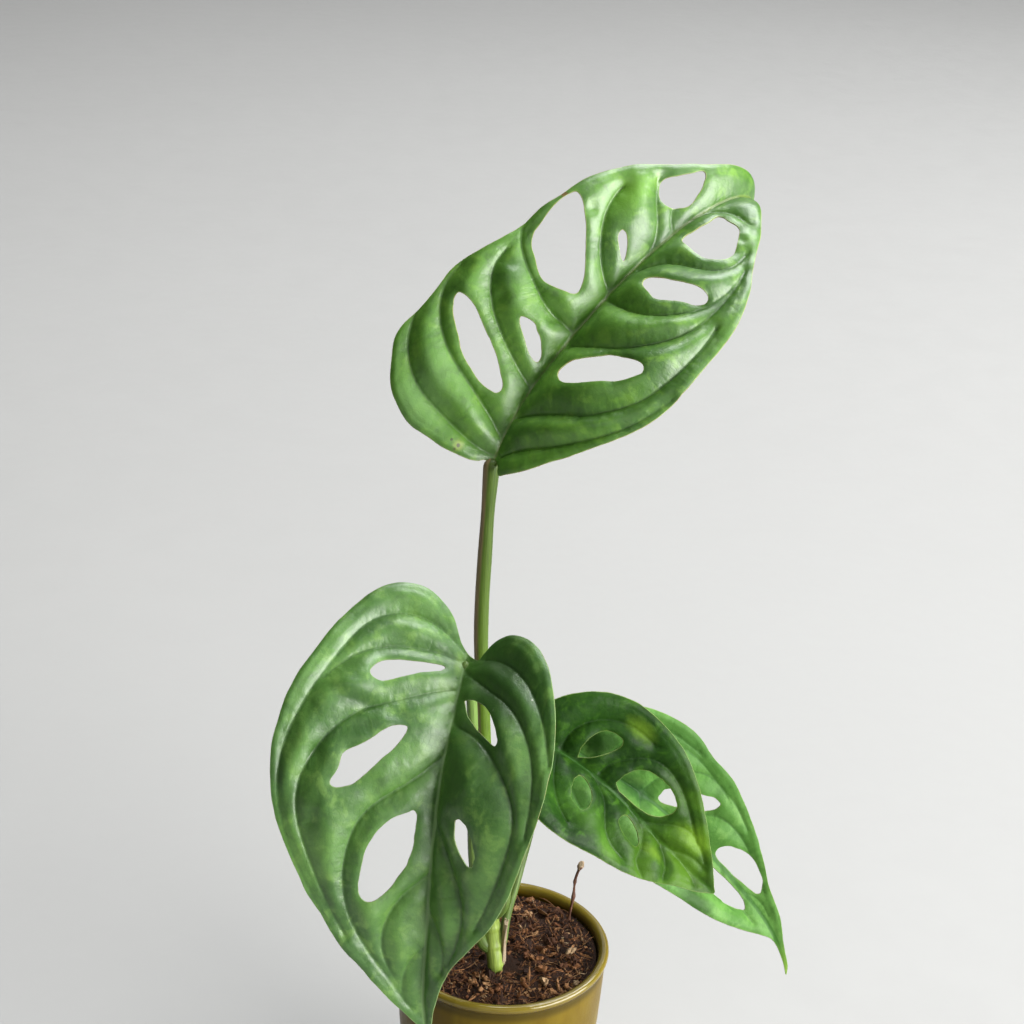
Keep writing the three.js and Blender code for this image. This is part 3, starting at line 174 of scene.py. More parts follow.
            [14.7, 23.7], [14.2, 22.1], [13.5, 20.6], [12.7, 19.1], [11.9, 17.6], [11.1, 16.1], [10.3, 14.6], [9.5, 13.1],
            [8.9, 11.5], [8.3, 9.9], [7.6, 8.4], [6.8, 6.9], [5.5, 5.9], [5, 6.8], [5.1, 8.5], [5.4, 10.2], [5.6, 11.8],
            [5.8, 13.5], [6.1, 15.2], [6.3, 16.9], [6.5, 18.5], [6.8, 20.2]],
            [[25.6, 16.6], [26.3, 18.2], [27.3, 19.6], [28.4, 20.9], [29.6, 22.1], [30.7, 23.4], [31.7, 24.8], [32.6, 26.2],
            [33.4, 27.7], [34.3, 29.2], [35.5, 30.3], [37.2, 30.5], [38.9, 30.8], [40.4, 31.5], [41.9, 32.4], [43.2, 32.4],
            [43.8, 30.9], [43.6, 29.2], [43.1, 27.6], [42.5, 25.9], [41.4, 24.6], [40.2, 23.4], [39, 22.2], [37.7, 21.1],
            [36.4, 19.9], [35.1, 18.9], [33.8, 17.6], [32.6, 16.4], [31.3, 15.4], [29.8, 14.5], [28.3, 13.7], [26.7, 13.1],
            [25.3, 13.2], [25.2, 14.9]],
            [[47.8, 7.2], [48.4, 8.7], [49, 10.3], [49.6, 11.9], [50.4, 13.4], [51.5, 14.7], [52.7, 15.9], [53.9, 17],
            [55.3, 18], [56.8, 18.8], [58.3, 19.6], [59.9, 20.2], [61.5, 20.6], [63.2, 20.8], [64.9, 21.1], [66.5, 21.3],
            [68.2, 21.5], [69.9, 21.7], [71.6, 21.6], [73.3, 21.3], [74.6, 20.4], [75.3, 19], [75.2, 17.3], [74.5, 15.8],
            [73.5, 14.5], [72.3, 13.2], [71.1, 12.1], [69.7, 11.1], [68.2, 10.3], [66.8, 9.3], [65.4, 8.4], [64, 7.6],
            [62.3, 7.2], [60.7, 6.6], [59.1, 6.2], [57.4, 6], [55.7, 6.1], [54, 5.9], [52.3, 5.9], [50.6, 5.8], [49, 6]],
            [[14.8, -3.9], [14.7, -5.5], [14.6, -7.2], [15.1, -8.8], [15.6, -10.3], [16.3, -11.8], [17.3, -13.2], [18.3, -14.5],
            [19.5, -15.7], [20.7, -16.8], [22, -17.9], [23.4, -18.8], [24.8, -19.6], [26, -18.9], [26.1, -17.4], [25.6, -15.8],
            [24.9, -14.3], [24.1, -12.8], [23.3, -11.4], [22.5, -9.9], [21.4, -8.7], [20.3, -7.4], [19.2, -6.2], [17.8, -5.3],
            [16.3, -4.6]],
            [[48.1, -9.8], [47.2, -11.3], [47.7, -12.9], [48.5, -14.4], [50, -15.3], [51.4, -16.2], [53, -16.9], [54.6, -17.3],
            [56.3, -17.8], [58, -17.5], [59.6, -17.1], [59.7, -15.4], [58.8, -14.1], [57.6, -12.8], [56.3, -11.8], [54.7, -11],
            [53.2, -10.3], [51.5, -10], [49.8, -9.9]],
        ],
        veins=[
            [[-0.3, 0.1], [-3.5, 3.9], [-6.2, 8.1], [-8.1, 12.7], [-9, 17.6], [-8.7, 22.5], [-6.8, 27], [-3.8, 30.9],
            [0.2, 33.9], [4.6, 36.2], [9.1, 38.3], [13.7, 40.3], [18.3, 42.2], [22.9, 44], [27.6, 45.6], [32.4, 47.1],
            [37.3, 48], [42.3, 48.3], [47.2, 47.7], [52, 46.4], [56.7, 44.6], [61.2, 42.5], [65.6, 40.2], [70, 37.9],
            [74.3, 35.4], [78.6, 32.9], [82.9, 30.3]],
            [[1.9, 1.5], [1.2, 6.5], [1.2, 11.6], [1.6, 16.6], [2.4, 21.6], [4, 26.3], [6.3, 30.8], [9.6, 34.6], [13.4, 37.8],
            [17.4, 40.9]],
            [[11.5, 2.4], [13.5, 7], [15.7, 11.5], [18, 16], [20.1, 20.5], [22.2, 25.1], [24.9, 29.3], [28.2, 33], [32.1, 36.2],
            [36.4, 38.9], [40.9, 41], [45.8, 42], [50.8, 41.6], [55.6, 40.2], [60.3, 38.2], [64.9, 36.2], [69.5, 34.1],
            [74, 32], [78.5, 29.8], [83, 27.4], [87.3, 25]],
            [[31.7, 1], [35.5, 4.3], [39, 8], [42.1, 12], [45.1, 16.1], [48.4, 20], [52.4, 23.1], [57.1, 24.9], [62, 26],
            [67.1, 26.4], [72.1, 26.1], [77.1, 25], [81.9, 23.4], [86.5, 21.2], [90.9, 18.8], [95.2, 16.1], [99.4, 13.2],
            [103.5, 10.2], [107.6, 7.3], [111.9, 4.5]],
            [[66.6, -0.3], [69.8, 3.4], [73, 7.1], [76.8, 10.1], [81.1, 12.3], [85.8, 13.5], [90.7, 13.6], [95.3, 12.4],
            [99.8, 10.4], [104, 7.9]],
            [[90.8, -0.2], [94.1, 3], [97.9, 5.4], [102.4, 6.5], [106.9, 6.6], [111.4, 5.7]],
            [[1.3, -1.5], [1.5, -6.7], [2.4, -11.9], [4.5, -16.7], [7.4, -21], [10.9, -24.9], [14.8, -28.4], [19, -31.6],
            [23.6, -34.1], [28.4, -36.1]],
            [[4.9, -0.8], [7.5, -4.9], [10.1, -9.1], [12.5, -13.4], [14.7, -17.7], [17.4, -21.8], [20.7, -25.5], [24.5, -28.5],
            [28.8, -30.8], [33.5, -32.1], [38.3, -32.6], [43.2, -32.5], [48.1, -32.1]],
            [[21, 0.3], [22.6, -4.5], [24.2, -9.2], [26.5, -13.7], [29.4, -17.7], [32.8, -21.3], [36.8, -24.4], [41, -26.9],
            [45.8, -27.9], [50.8, -27.5], [55.7, -26.4], [60.5, -25], [65.2, -23.4], [69.9, -21.7], [74.5, -19.8],
            [79.1, -17.7]],
            [[48.9, 0.2], [53.2, -2.2], [57.3, -4.8], [61.5, -7.4], [65.8, -9.7], [70.3, -11.7], [75, -12.8], [79.8, -12.8],
            [84.6, -11.9], [89.3, -10.5], [93.9, -8.8]],
            [[77.4, 0.3], [82.1, -2.4], [86.6, -5.3], [91.8, -6.7], [97.2, -6.7]],
        ],
    ),
    "leaf_right_front": dict(
        length=80.18,
        midrib=[[7.87, 4, 144.79], [16.27, 2.94, 139.44], [24.68, 1.88, 134.1], [32.52, 0.75, 127.96], [39.73, -0.45, 121.11],
        [46.67, -1.71, 113.99], [53.77, -2.98, 107.03], [61.16, -4.24, 100.38], [68.3, -5.5, 93.46]],
        facing=[[0.239, -0.812, 0.532], [0.235, -0.808, 0.54], [0.252, -0.816, 0.521], [0.279, -0.839, 0.467],
        [0.286, -0.855, 0.433], [0.281, -0.859, 0.428], [0.268, -0.852, 0.45], [0.262, -0.857, 0.444],
        [0.259, -0.871, 0.418]],
        fold_a=[18, 18.56, 18.75, 18.56, 18, 17.06, 15.75, 14.06, 12], fold_b=[30, 30.94, 31.25, 30.94, 30, 28.44, 26.25, 23.44, 20],
        curl_a=[-0.4, -0.444, -0.475, -0.494, -0.5, -0.494, -0.475, -0.444, -0.4], curl_b=[-0.5, -0.5, -0.5, -0.5, -0.5, -0.5, -0.5, -0.5, -0.5],
        margin=[[0, 0], [-1.9, -1.4], [-3.4, -3.1], [-4.1, -5.2], [-4.1, -7.5], [-3.4, -9.8], [-2.4, -11.9], [-1.1, -13.9],
        [0.3, -15.8], [1.9, -17.6], [3.7, -19.2], [5.5, -20.7], [7.5, -22.1], [9.6, -23.2], [11.7, -24.3], [13.9, -25.1],
        [16.2, -25.9], [18.5, -26.5], [20.8, -27.1], [23.2, -27.2], [25.6, -27.2], [27.9, -27.1], [30.3, -26.9],
        [32.7, -26.6], [35, -26.2], [37.4, -25.8], [39.7, -25.1], [41.9, -24.4], [44.2, -23.5], [46.4, -22.7],
        [48.6, -21.7], [50.8, -20.8], [53, -19.7], [55.1, -18.7], [57.2, -17.5], [59.2, -16.3], [61.3, -15.1],
        [63.3, -13.8], [65.2, -12.4], [67.1, -10.9], [69, -9.5], [70.9, -8], [72.8, -6.5], [74.6, -5], [76.5, -3.5],
        [78.3, -2], [80.2, -0.5], [78.4, 1.2], [76.6, 2.7], [74.7, 4.1], [72.6, 5.4], [70.6, 6.5], [68.5, 7.6], [66.4, 8.8],
        [64.3, 10.1], [62.4, 11.4], [60.4, 12.8], [58.4, 14], [56.3, 15.2], [54.2, 16.4], [52.1, 17.5], [50, 18.5],
        [47.8, 19.5], [45.5, 20.3], [43.3, 21.1], [41, 21.9], [38.8, 22.7], [36.5, 23.5], [34.3, 24.3], [32, 25],
        [29.7, 25.6], [27.4, 26.2], [25, 26.6], [22.7, 27], [20.3, 27.2], [17.9, 27.3], [15.5, 27.1], [13.2, 26.8],
        [10.9, 26.1], [8.7, 25.2], [6.7, 24], [4.9, 22.4], [3.4, 20.7], [2, 18.7], [1.1, 16.6], [0.4, 14.3], [-0.1, 12],
        [-0.4, 9.6], [-0.4, 7.2], [-0.2, 4.9], [0.2, 2.5]],
        holes=[
            [[15.6, -1.9], [15, -3.4], [14.5, -5], [14.6, -6.7], [14.8, -8.4], [15.3, -10], [16, -11.5], [16.9, -12.9],
            [18.1, -14.1], [19.6, -14.8], [21.2, -15.1], [22.9, -15], [23.9, -13.7], [23.9, -12.2], [23.3, -10.6], [22.5, -9.1],
            [21.6, -7.7], [20.6, -6.3], [19.6, -5], [18.4, -3.7], [17.1, -2.8]],
            [[17.8, 10.8], [17.5, 9.1], [17.3, 7.3], [17.9, 5.8], [18.7, 4.2], [20.2, 3.6], [21.7, 3.9], [23.1, 5], [24.3, 6.2],
            [25.2, 7.7], [25.9, 9.2], [26, 10.9], [26, 12.7], [25.3, 14.2], [24.3, 15.3], [22.6, 15.1], [20.9, 14.6],
            [19.4, 13.8], [18.5, 12.3]],
            [[30.2, -3.1], [30.2, -4.8], [30.2, -6.5], [30.8, -8], [31.4, -9.6], [32.3, -11], [33.5, -12.1], [34.8, -13.1],
            [36.4, -13.6], [38, -14], [39.7, -14.3], [41.4, -14.3], [43, -14.4], [44.7, -14.1], [46.3, -13.7], [47.8, -13],
            [49.3, -12.2], [49.9, -10.8], [50.1, -9.1], [49.5, -7.5], [48.8, -6], [47.6, -4.9], [46.2, -4], [44.8, -3.2],
            [43.1, -2.8], [41.5, -2.4], [39.8, -2.1], [38.2, -2], [36.5, -1.9], [34.8, -1.8], [33.1, -1.7], [31.6, -2.3]],
            [[37.9, 7.4], [38.1, 5.7], [38.8, 4.3], [40, 3.1], [41.5, 2.7], [43.2, 2.6], [44.8, 3.2], [46.4, 3.8], [47.7, 4.9],
            [49, 6], [49.1, 7.6], [48.5, 9], [47.1, 9.9], [45.5, 10.2], [43.8, 10.2], [42.1, 9.9], [40.5, 9.4], [39.1, 8.6]],
        ],
        veins=[
            [[9.9, 0], [8.9, -4.9], [9.9, -9.8], [12.8, -13.9], [16.7, -17.2], [21.2, -19.4], [26.2, -20.4], [31.3, -20.2]],
            [[24.2, -0.1], [24.7, -4.9], [26.8, -9.3], [29.6, -13.2], [33.2, -16.4], [37.8, -17.9], [42.6, -17.7],
            [47.3, -16.5], [51.9, -14.7], [56.2, -12.5], [60.5, -10.2], [64.6, -7.6]],
            [[44.9, 0], [48.9, -2.7], [52.6, -6], [56.7, -8.5], [61.4, -8.9], [66.1, -7.6], [70.5, -5.4]],
            [[58.5, -0.2], [62.5, -2.3], [66.7, -3.7], [71.2, -3.4]],
            [[8.5, 0.6], [9.7, 5.6], [11.3, 10.5], [13.9, 15], [17.6, 18.6], [22.1, 21]],
            [[21.7, -0.1], [26.3, 2.3], [30.6, 5.4], [33.7, 9.6], [37.1, 13.5], [42, 15.4], [47.2, 15.4]],
            [[38.4, -0.1], [43.5, 0.7], [48.2, 2.7], [50.5, 7.3], [51.5, 12.2], [55.8, 14.4]],
            [[50.4, 0], [55.8, 1.6], [60.3, 5], [62.5, 10.1]],
            [[61.4, -0.1], [65.5, 0.5], [69.4, 1.5], [73.3, 2.8]],
        ],
    ),
    "leaf_right_back": dict(
        length=117.31,
        midrib=[[17.67, 25, 129.84], [29.77, 25.48, 121.58], [41.88, 25.5, 113.31], [53.48, 24.98, 104.36], [64.46, 23.76, 94.73],
        [74.9, 21.72, 84.63], [84.7, 18.92, 74.1], [93.17, 15.61, 62.62], [97.92, 12.5, 49.22]],
        facing=[[0.34, -0.834, 0.436], [0.322, -0.834, 0.448], [0.302, -0.842, 0.446], [0.288, -0.858, 0.425],
        [0.257, -0.87, 0.422], [0.223, -0.876, 0.427], [0.194, -0.882, 0.429], [0.166, -0.929, 0.33],
        [0.108, -0.964, 0.241]],
        fold_a=[15, 15.66, 15.88, 15.66, 15, 13.91, 12.38, 10.41, 8], fold_b=[25, 26.41, 26.88, 26.41, 25, 22.66, 19.38, 15.16, 10],
        curl_a=[-0.3, -0.3, -0.3, -0.3, -0.3, -0.3, -0.3, -0.3, -0.3], curl_b=[-0.4, -0.4, -0.4, -0.4, -0.4, -0.4, -0.4, -0.4, -0.4],
        margin=[[0, 0], [-0.5, -2.3], [-0.6, -4.7], [-0.1, -7], [0.7, -9.3], [1.8, -11.4], [3, -13.5], [4.5, -15.4], [6, -17.3],
        [7.7, -19], [9.5, -20.6], [11.4, -22.1], [13.5, -23.3], [15.7, -24.4], [17.9, -25.2], [20.3, -25.9], [22.6, -26.4],
        [25, -26.9], [27.4, -27.2], [29.8, -27.5], [32.2, -27.6], [34.6, -27.5], [37, -27.1], [39.3, -26.4], [41.5, -25.5],
        [43.8, -24.8], [46.2, -24.4], [48.6, -24.2], [51, -23.9], [53.4, -23.5], [55.6, -22.8], [57.9, -21.9], [60.1, -21],
        [62.4, -20.1], [64.6, -19.1], [66.8, -18.1], [69, -17.2], [71.2, -16.1], [73.4, -15.1], [75.5, -13.9],
        [77.7, -12.9], [79.9, -11.8], [82, -10.7], [84.2, -9.5], [86.3, -8.4], [88.5, -7.5], [90.8, -6.8], [93.2, -6.1],
        [95.5, -5.5], [97.8, -4.8], [100.1, -3.9], [102.3, -3.1], [104.6, -2.3], [107, -1.9], [109.4, -1.6], [111.8, -1.5],
        [114.2, -1.3], [117.3, -0.2], [115, -0.1], [112.6, -0.1], [110.2, 0.1], [107.8, 0.3], [105.4, 0.6], [103.2, 1.2],
        [101.2, 2.4], [99.4, 3.9], [97.5, 5.4], [95.6, 6.9], [93.7, 8.3], [91.7, 9.7], [89.7, 10.9], [87.7, 12.2],
        [85.6, 13.3], [83.5, 14.4], [81.3, 15.5], [79.1, 16.3], [76.8, 17.1], [74.5, 17.8], [72.2, 18.5], [69.9, 19.1],
        [67.6, 19.7], [65.3, 20.2], [62.9, 20.8], [60.6, 21.4], [58.3, 22], [56, 22.5], [53.6, 23.1], [51.3, 23.5],
        [48.9, 23.8], [46.5, 24.1], [44.2, 24.4], [41.8, 24.7], [39.4, 24.9], [37, 25.1], [34.6, 25.3], [32.3, 25.3],
        [29.9, 25.2], [27.5, 25.1], [25.1, 24.8], [22.8, 24.4], [20.4, 23.9], [18.1, 23.3], [15.9, 22.5], [13.6, 21.6],
        [11.5, 20.6], [9.4, 19.4], [7.5, 18], [5.7, 16.5], [4, 14.8], [2.5, 13], [1.2, 11], [0.4, 8.8], [-0.1, 6.5],
        [-0.3, 4.1], [-0.2, 1.7]],
        holes=[
            [[67.2, -6.2], [66.3, -4.7], [66.1, -3.1], [66.8, -1.6], [68.2, -0.9], [69.9, -0.7], [71.6, -0.8], [73.3, -0.9],
            [75, -0.9], [76.7, -0.9], [78.3, -1.1], [80, -1.5], [81.7, -1.8], [83.3, -2], [85, -2.4], [86.6, -2.8], [87.6, -4],
            [86.9, -5.4], [85.8, -6.6], [84.5, -7.7], [83, -8.3], [81.3, -8.8], [79.7, -9.3], [78.1, -9.7], [76.4, -9.8],
            [74.7, -9.7], [73.1, -9.3], [71.4, -8.8], [70, -8], [68.4, -7.3]],
            [[65, 6], [66.3, 4.8], [67.5, 3.7], [68.8, 2.6], [70.5, 2.4], [72.2, 2.1], [73.9, 1.9], [75.6, 1.7], [77.3, 1.6],
            [79, 1.5], [80.7, 1.5], [82.5, 1.5], [84.2, 1.7], [85.8, 1.9], [87.3, 2.8], [88.2, 3.8], [86.9, 5], [85.6, 6.1],
            [84, 6.8], [82.5, 7.5], [80.9, 8.2], [79.2, 8.4], [77.5, 8.7], [75.8, 9], [74.2, 9.3], [72.4, 9.2], [70.7, 9.2],
            [69, 9.1], [67.6, 8.2], [66.3, 7.1]],
            [[38.4, -2.6], [38.3, -4.3], [38.2, -6], [39.3, -7.4], [40.3, -8.8], [41.6, -9.8], [43.2, -10.6], [44.7, -11.4],
            [46.3, -12.1], [47.9, -12.7], [49.5, -13.3], [51, -14.1], [52.6, -14.9], [54.3, -15], [55.8, -14.7], [56, -13],
            [55.6, -11.5], [54.6, -10.1], [53.5, -8.8], [52.1, -7.8], [50.7, -6.8], [49.3, -5.8], [47.7, -5], [46.2, -4.3],
            [44.6, -3.5], [43.1, -2.8], [41.5, -2.1], [39.9, -1.9]],
            [[39.5, 13.9], [40.8, 12.8], [42, 11.6], [43.4, 10.8], [45, 10.5], [46.6, 10.2], [48.3, 9.9], [50, 9.8],
            [51.7, 9.7], [53.3, 9.6], [55, 9.8], [56.6, 10.2], [57.6, 10.9], [57, 12.4], [55.8, 13.4], [54.2, 14], [52.6, 14.5],
            [51.1, 15.1], [49.4, 15.2], [47.7, 15.3], [46, 15.4], [44.4, 15.4], [42.8, 14.9], [41.1, 14.4]],
            [[18.1, -3.4], [18.4, -5.1], [18.8, -6.8], [19.6, -8.2], [20.7, -9.5], [21.7, -10.8], [23.1, -11.8], [24.6, -12.6],
            [26, -13.5], [27.6, -13.6], [29.3, -13.3], [29.2, -11.7], [28.9, -10], [27.8, -8.8], [26.6, -7.5], [25.5, -6.2],
            [24.2, -5.2], [22.9, -4.1], [21.5, -3.2], [19.8, -3.3]],
        ],
        veins=[
            [[5.2, 0.5], [5.4, -4.4], [6.1, -9.1], [8.7, -13.3], [12.2, -16.4], [16.3, -19.1], [20.8, -20.9], [25.4, -22.4],
            [30.3, -23], [35.1, -23.2], [40, -23]],
            [[15.2, -0.4], [16.2, -5.1], [17.2, -9.8], [20.4, -13.5], [23.6, -17.1], [28.1, -19], [32.5, -20.6], [37.4, -21],
            [42.1, -21], [46.9, -20.2], [51.6, -19.1], [56.3, -17.9]],
            [[32.5, 0], [33.3, -4.7], [35.1, -9], [37.8, -13], [41.3, -16.1], [45.3, -18.6], [50, -19.2], [54.7, -19],
            [59.4, -18.2], [63.9, -16.7], [68.4, -15.1]],
            [[49.2, 0.3], [51.3, -4.4], [54.5, -8.3], [58.6, -11.2], [63.7, -12.1], [68.7, -11.7], [73.8, -10.6], [78.6, -9],
            [83.5, -7.3], [88.3, -5.5]],
            [[83.6, -0.1], [87.2, -2], [91.3, -2.5], [95.4, -1.9]],
            [[3.9, 0.4], [4.6, 5.6], [6.5, 10.4], [9.7, 14.4], [13.9, 17.5]],
            [[15.2, -0.4], [16.5, 4.4], [18.6, 8.9], [21.6, 13], [25.8, 15.6], [30.4, 17.7], [35.3, 18.4], [40.3, 19.1]],
            [[32.5, 0], [34.6, 4.6], [38.1, 8], [42.5, 10.6], [47.5, 11.4], [52.6, 12.2], [57.6, 12.1], [62.7, 12],
            [67.8, 11.6], [72.9, 11.2]],
            [[49.2, 0.3], [52.7, 3.5], [57, 5.5], [61.5, 7.1], [66, 8.6], [70.7, 9.2], [75.5, 9.4], [80.2, 8.5], [84.9, 7.4]],
            [[71, 0.3], [75.1, 2.5], [79.4, 3.9], [83.9, 4.6], [88.5, 4.6], [93.1, 4.4]],
        ],
    ),
}

# ---------------------------------------------------------------- small tools

def unit(v):
    return v / np.maximum(np.linalg.norm(v, axis=-1, keepdims=True), 1e-12)


def ease(x, a, b):
    t = np.clip((x - a) / (b - a), 0, 1)
    return t * t * (3 - 2 * t)


def spline(knots):
    """Natural cubic spline through equally spaced knots, straight beyond its ends: f(u) -> (values, slopes)."""
    K = np.asarray(knots, float)
    K = K[:, None] if K.ndim == 1 else K
    n, h = len(K) - 1, 1.0 / (len(K) - 1)
    A = 4 * np.eye(n - 1) + np.eye(n - 1, k=1) + np.eye(n - 1, k=-1)
    m = np.zeros_like(K)
    m[1:-1] = np.linalg.solve(A, 6 * (K[2:] - 2 * K[1:-1] + K[:-2]) / h ** 2)

    def at(u):
        u = np.asarray(u, float)
        uc = np.clip(u, 0, 1)
        x = uc * n
        i = np.minimum(x.astype(int), n - 1)
        b = (x - i)[..., None]
        a = 1 - b
        v = a * K[i] + b * K[i + 1] + ((a ** 3 - a) * m[i] + (b ** 3 - b) * m[i + 1]) * h * h / 6
        d = (K[i + 1] - K[i]) / h + (-(3 * a * a - 1) * m[i] + (3 * b * b - 1) * m[i + 1]) * h / 6
        return v + (u - uc)[..., None] * d, d

    return at


def curve(points, step, closed=False):
    """Smooth line through points (Catmull-Rom), with even steps."""
    P = np.asarray(points, float)
    Q = np.vstack([P[-1], P, P[:2]]) if closed else np.vstack([2 * P[0] - P[1], P, 2 * P[-1] - P[-2]])
    t = np.linspace(0, 1, 13)[:-1, None]
    out = []
    for i in range(len(Q) - 3):
        a, b, c, d = Q[i:i + 4]
        out.append(0.5 * (2 * b + (c - a) * t + (2 * a - 5 * b + 4 * c - d) * t ** 2 + (3 * b - a - 3 * c + d) * t ** 3))
    F = np.vstack(out + [P[:1] if closed else P[-1:]])
    along = np.r_[0, np.cumsum(np.linalg.norm(np.diff(F, axis=0), axis=1))]
    n = max(2, int(round(along[-1] / step)))
    x = np.linspace(0, along[-1], n + 1)
    F = np.stack([np.interp(x, along, F[:, k]) for k in range(F.shape[1])], 1)
    return F[:-1] if closed else F


def inside(loop, P):
    hit = np.zeros(len(P), bool)
    a = loop
    b = np.roll(loop, -1, 0)
    for (ax, ay), (bx, by) in zip(a, b):
        if ay == by:
            continue
        cross = (ay > P[:, 1]) != (by > P[:, 1])
        hit ^= cross & (P[:, 0] < (bx - ax) * (P[:, 1] - ay) / (by - ay) + ax)
    return hit


def near(P, lines, closed=False):
    """Distance from each point to the nearest of some lines, how far along that line, and its number."""
    best, arc, who = np.full(len(P), 1e9), np.zeros(len(P)), np.zeros(len(P), int)
    for k, L in enumerate(lines):
        L = np.vstack([L, L[:1]]) if closed else L
        a, d = L[:-1], np.diff(L, axis=0)
        ll = np.maximum((d ** 2).sum(1), 1e-12)
        start = np.r_[0, np.cumsum(np.sqrt(ll))][:-1]
        for c in range(0, len(P), 3000):
            q = P[c:c + 3000, None] - a[None]
            f = np.clip((q * d).sum(-1) / ll, 0, 1)
            r = np.sqrt(((q - f[..., None] * d) ** 2).sum(-1))
            j = r.argmin(1)
            rows = np.arange(len(j))
            m = r[rows, j]
            new = m < best[c:c + 3000]
            idx = np.nonzero(new)[0]
            best[c + idx] = m[idx]
            arc[c + idx] = (start[j] + f[rows, j] * np.sqrt(ll[j]))[idx]
            who[c + idx] = k
    return best, arc, who


def soft_noise(P, size, seed=0.0):
    """Smooth noise, about -1 to 1, over points in mm, with features of about that size."""
    Q = np.asarray(P, float) / size
    if Q.shape[1] == 2:
        Q = np.c_[Q, np.full(len(Q), 0.37)]
    return np.array([noise.noise(Vector((x + seed, y - seed * 0.7, z + seed * 1.3))) for x, y, z in Q])


def make_mesh(name, verts, faces, mats, slots=None, attrs=None, smooth=True, sharp=None):
    """Mesh object from vertices in mm; faces are index lists or arrays, attrs per-vertex numbers or vectors."""
    me = bpy.data.meshes.new(name)
    faces = [list(map(int, f)) for f in faces]
    me.vertices.add(len(verts))
    me.vertices.foreach_set("co", (np.asarray(verts, float) * MM).astype(np.float32).ravel())
    total = [len(f) for f in faces]
    me.loops.add(sum(total))
    me.loops.foreach_set("vertex_index", np.concatenate([np.asarray(f, np.int32) for f in faces]))
    me.polygons.add(len(faces))
    me.polygons.foreach_set("loop_start", np.r_[0, np.cumsum(total)[:-1]].astype(np.int32))
    me.update(calc_edges=True)
    me.polygons.foreach_set("use_smooth", np.full(len(faces), smooth, bool))
    for m in mats:
        me.materials.append(m)
    if slots is not None:
        me.polygons.foreach_set("material_index", np.asarray(slots, np.int32))
    for key, values in (attrs or {}).items():
        values = np.asarray(values, np.float32)
        kind = "FLOAT" if values.ndim == 1 else "FLOAT_VECTOR"
        a = me.attributes.new(key, kind, "POINT")
        a.data.foreach_set("value" if kind == "FLOAT" else "vector", values.ravel())
    if sharp is not None:
        ev = np.zeros(len(me.edges) * 2, np.int32)
        me.edges.foreach_get("vertices", ev)
        ev = np.sort(ev.reshape(-1, 2), 1)
        key = ev[:, 0].astype(np.int64) * len(verts) + ev[:, 1]
        s = np.sort(np.asarray(sharp), 1)
        want = s[:, 0].astype(np.int64) * len(verts) + s[:, 1]
        a = me.attributes.new("sharp_edge", "BOOLEAN", "EDGE")
        a.data.foreach_set("value", np.isin(key, want))
    me.validate(clean_customdata=False)
    me.update()
    ob = bpy.data.objects.new(name, me)
    bpy.context.scene.collection.objects.link(ob)
    return ob


def add_piece(ob, replaces=()):
    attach(ob, BODY)
    if replaces:
        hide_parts(*replaces)
    return ob


# ---------------------------------------------------------------- material tools

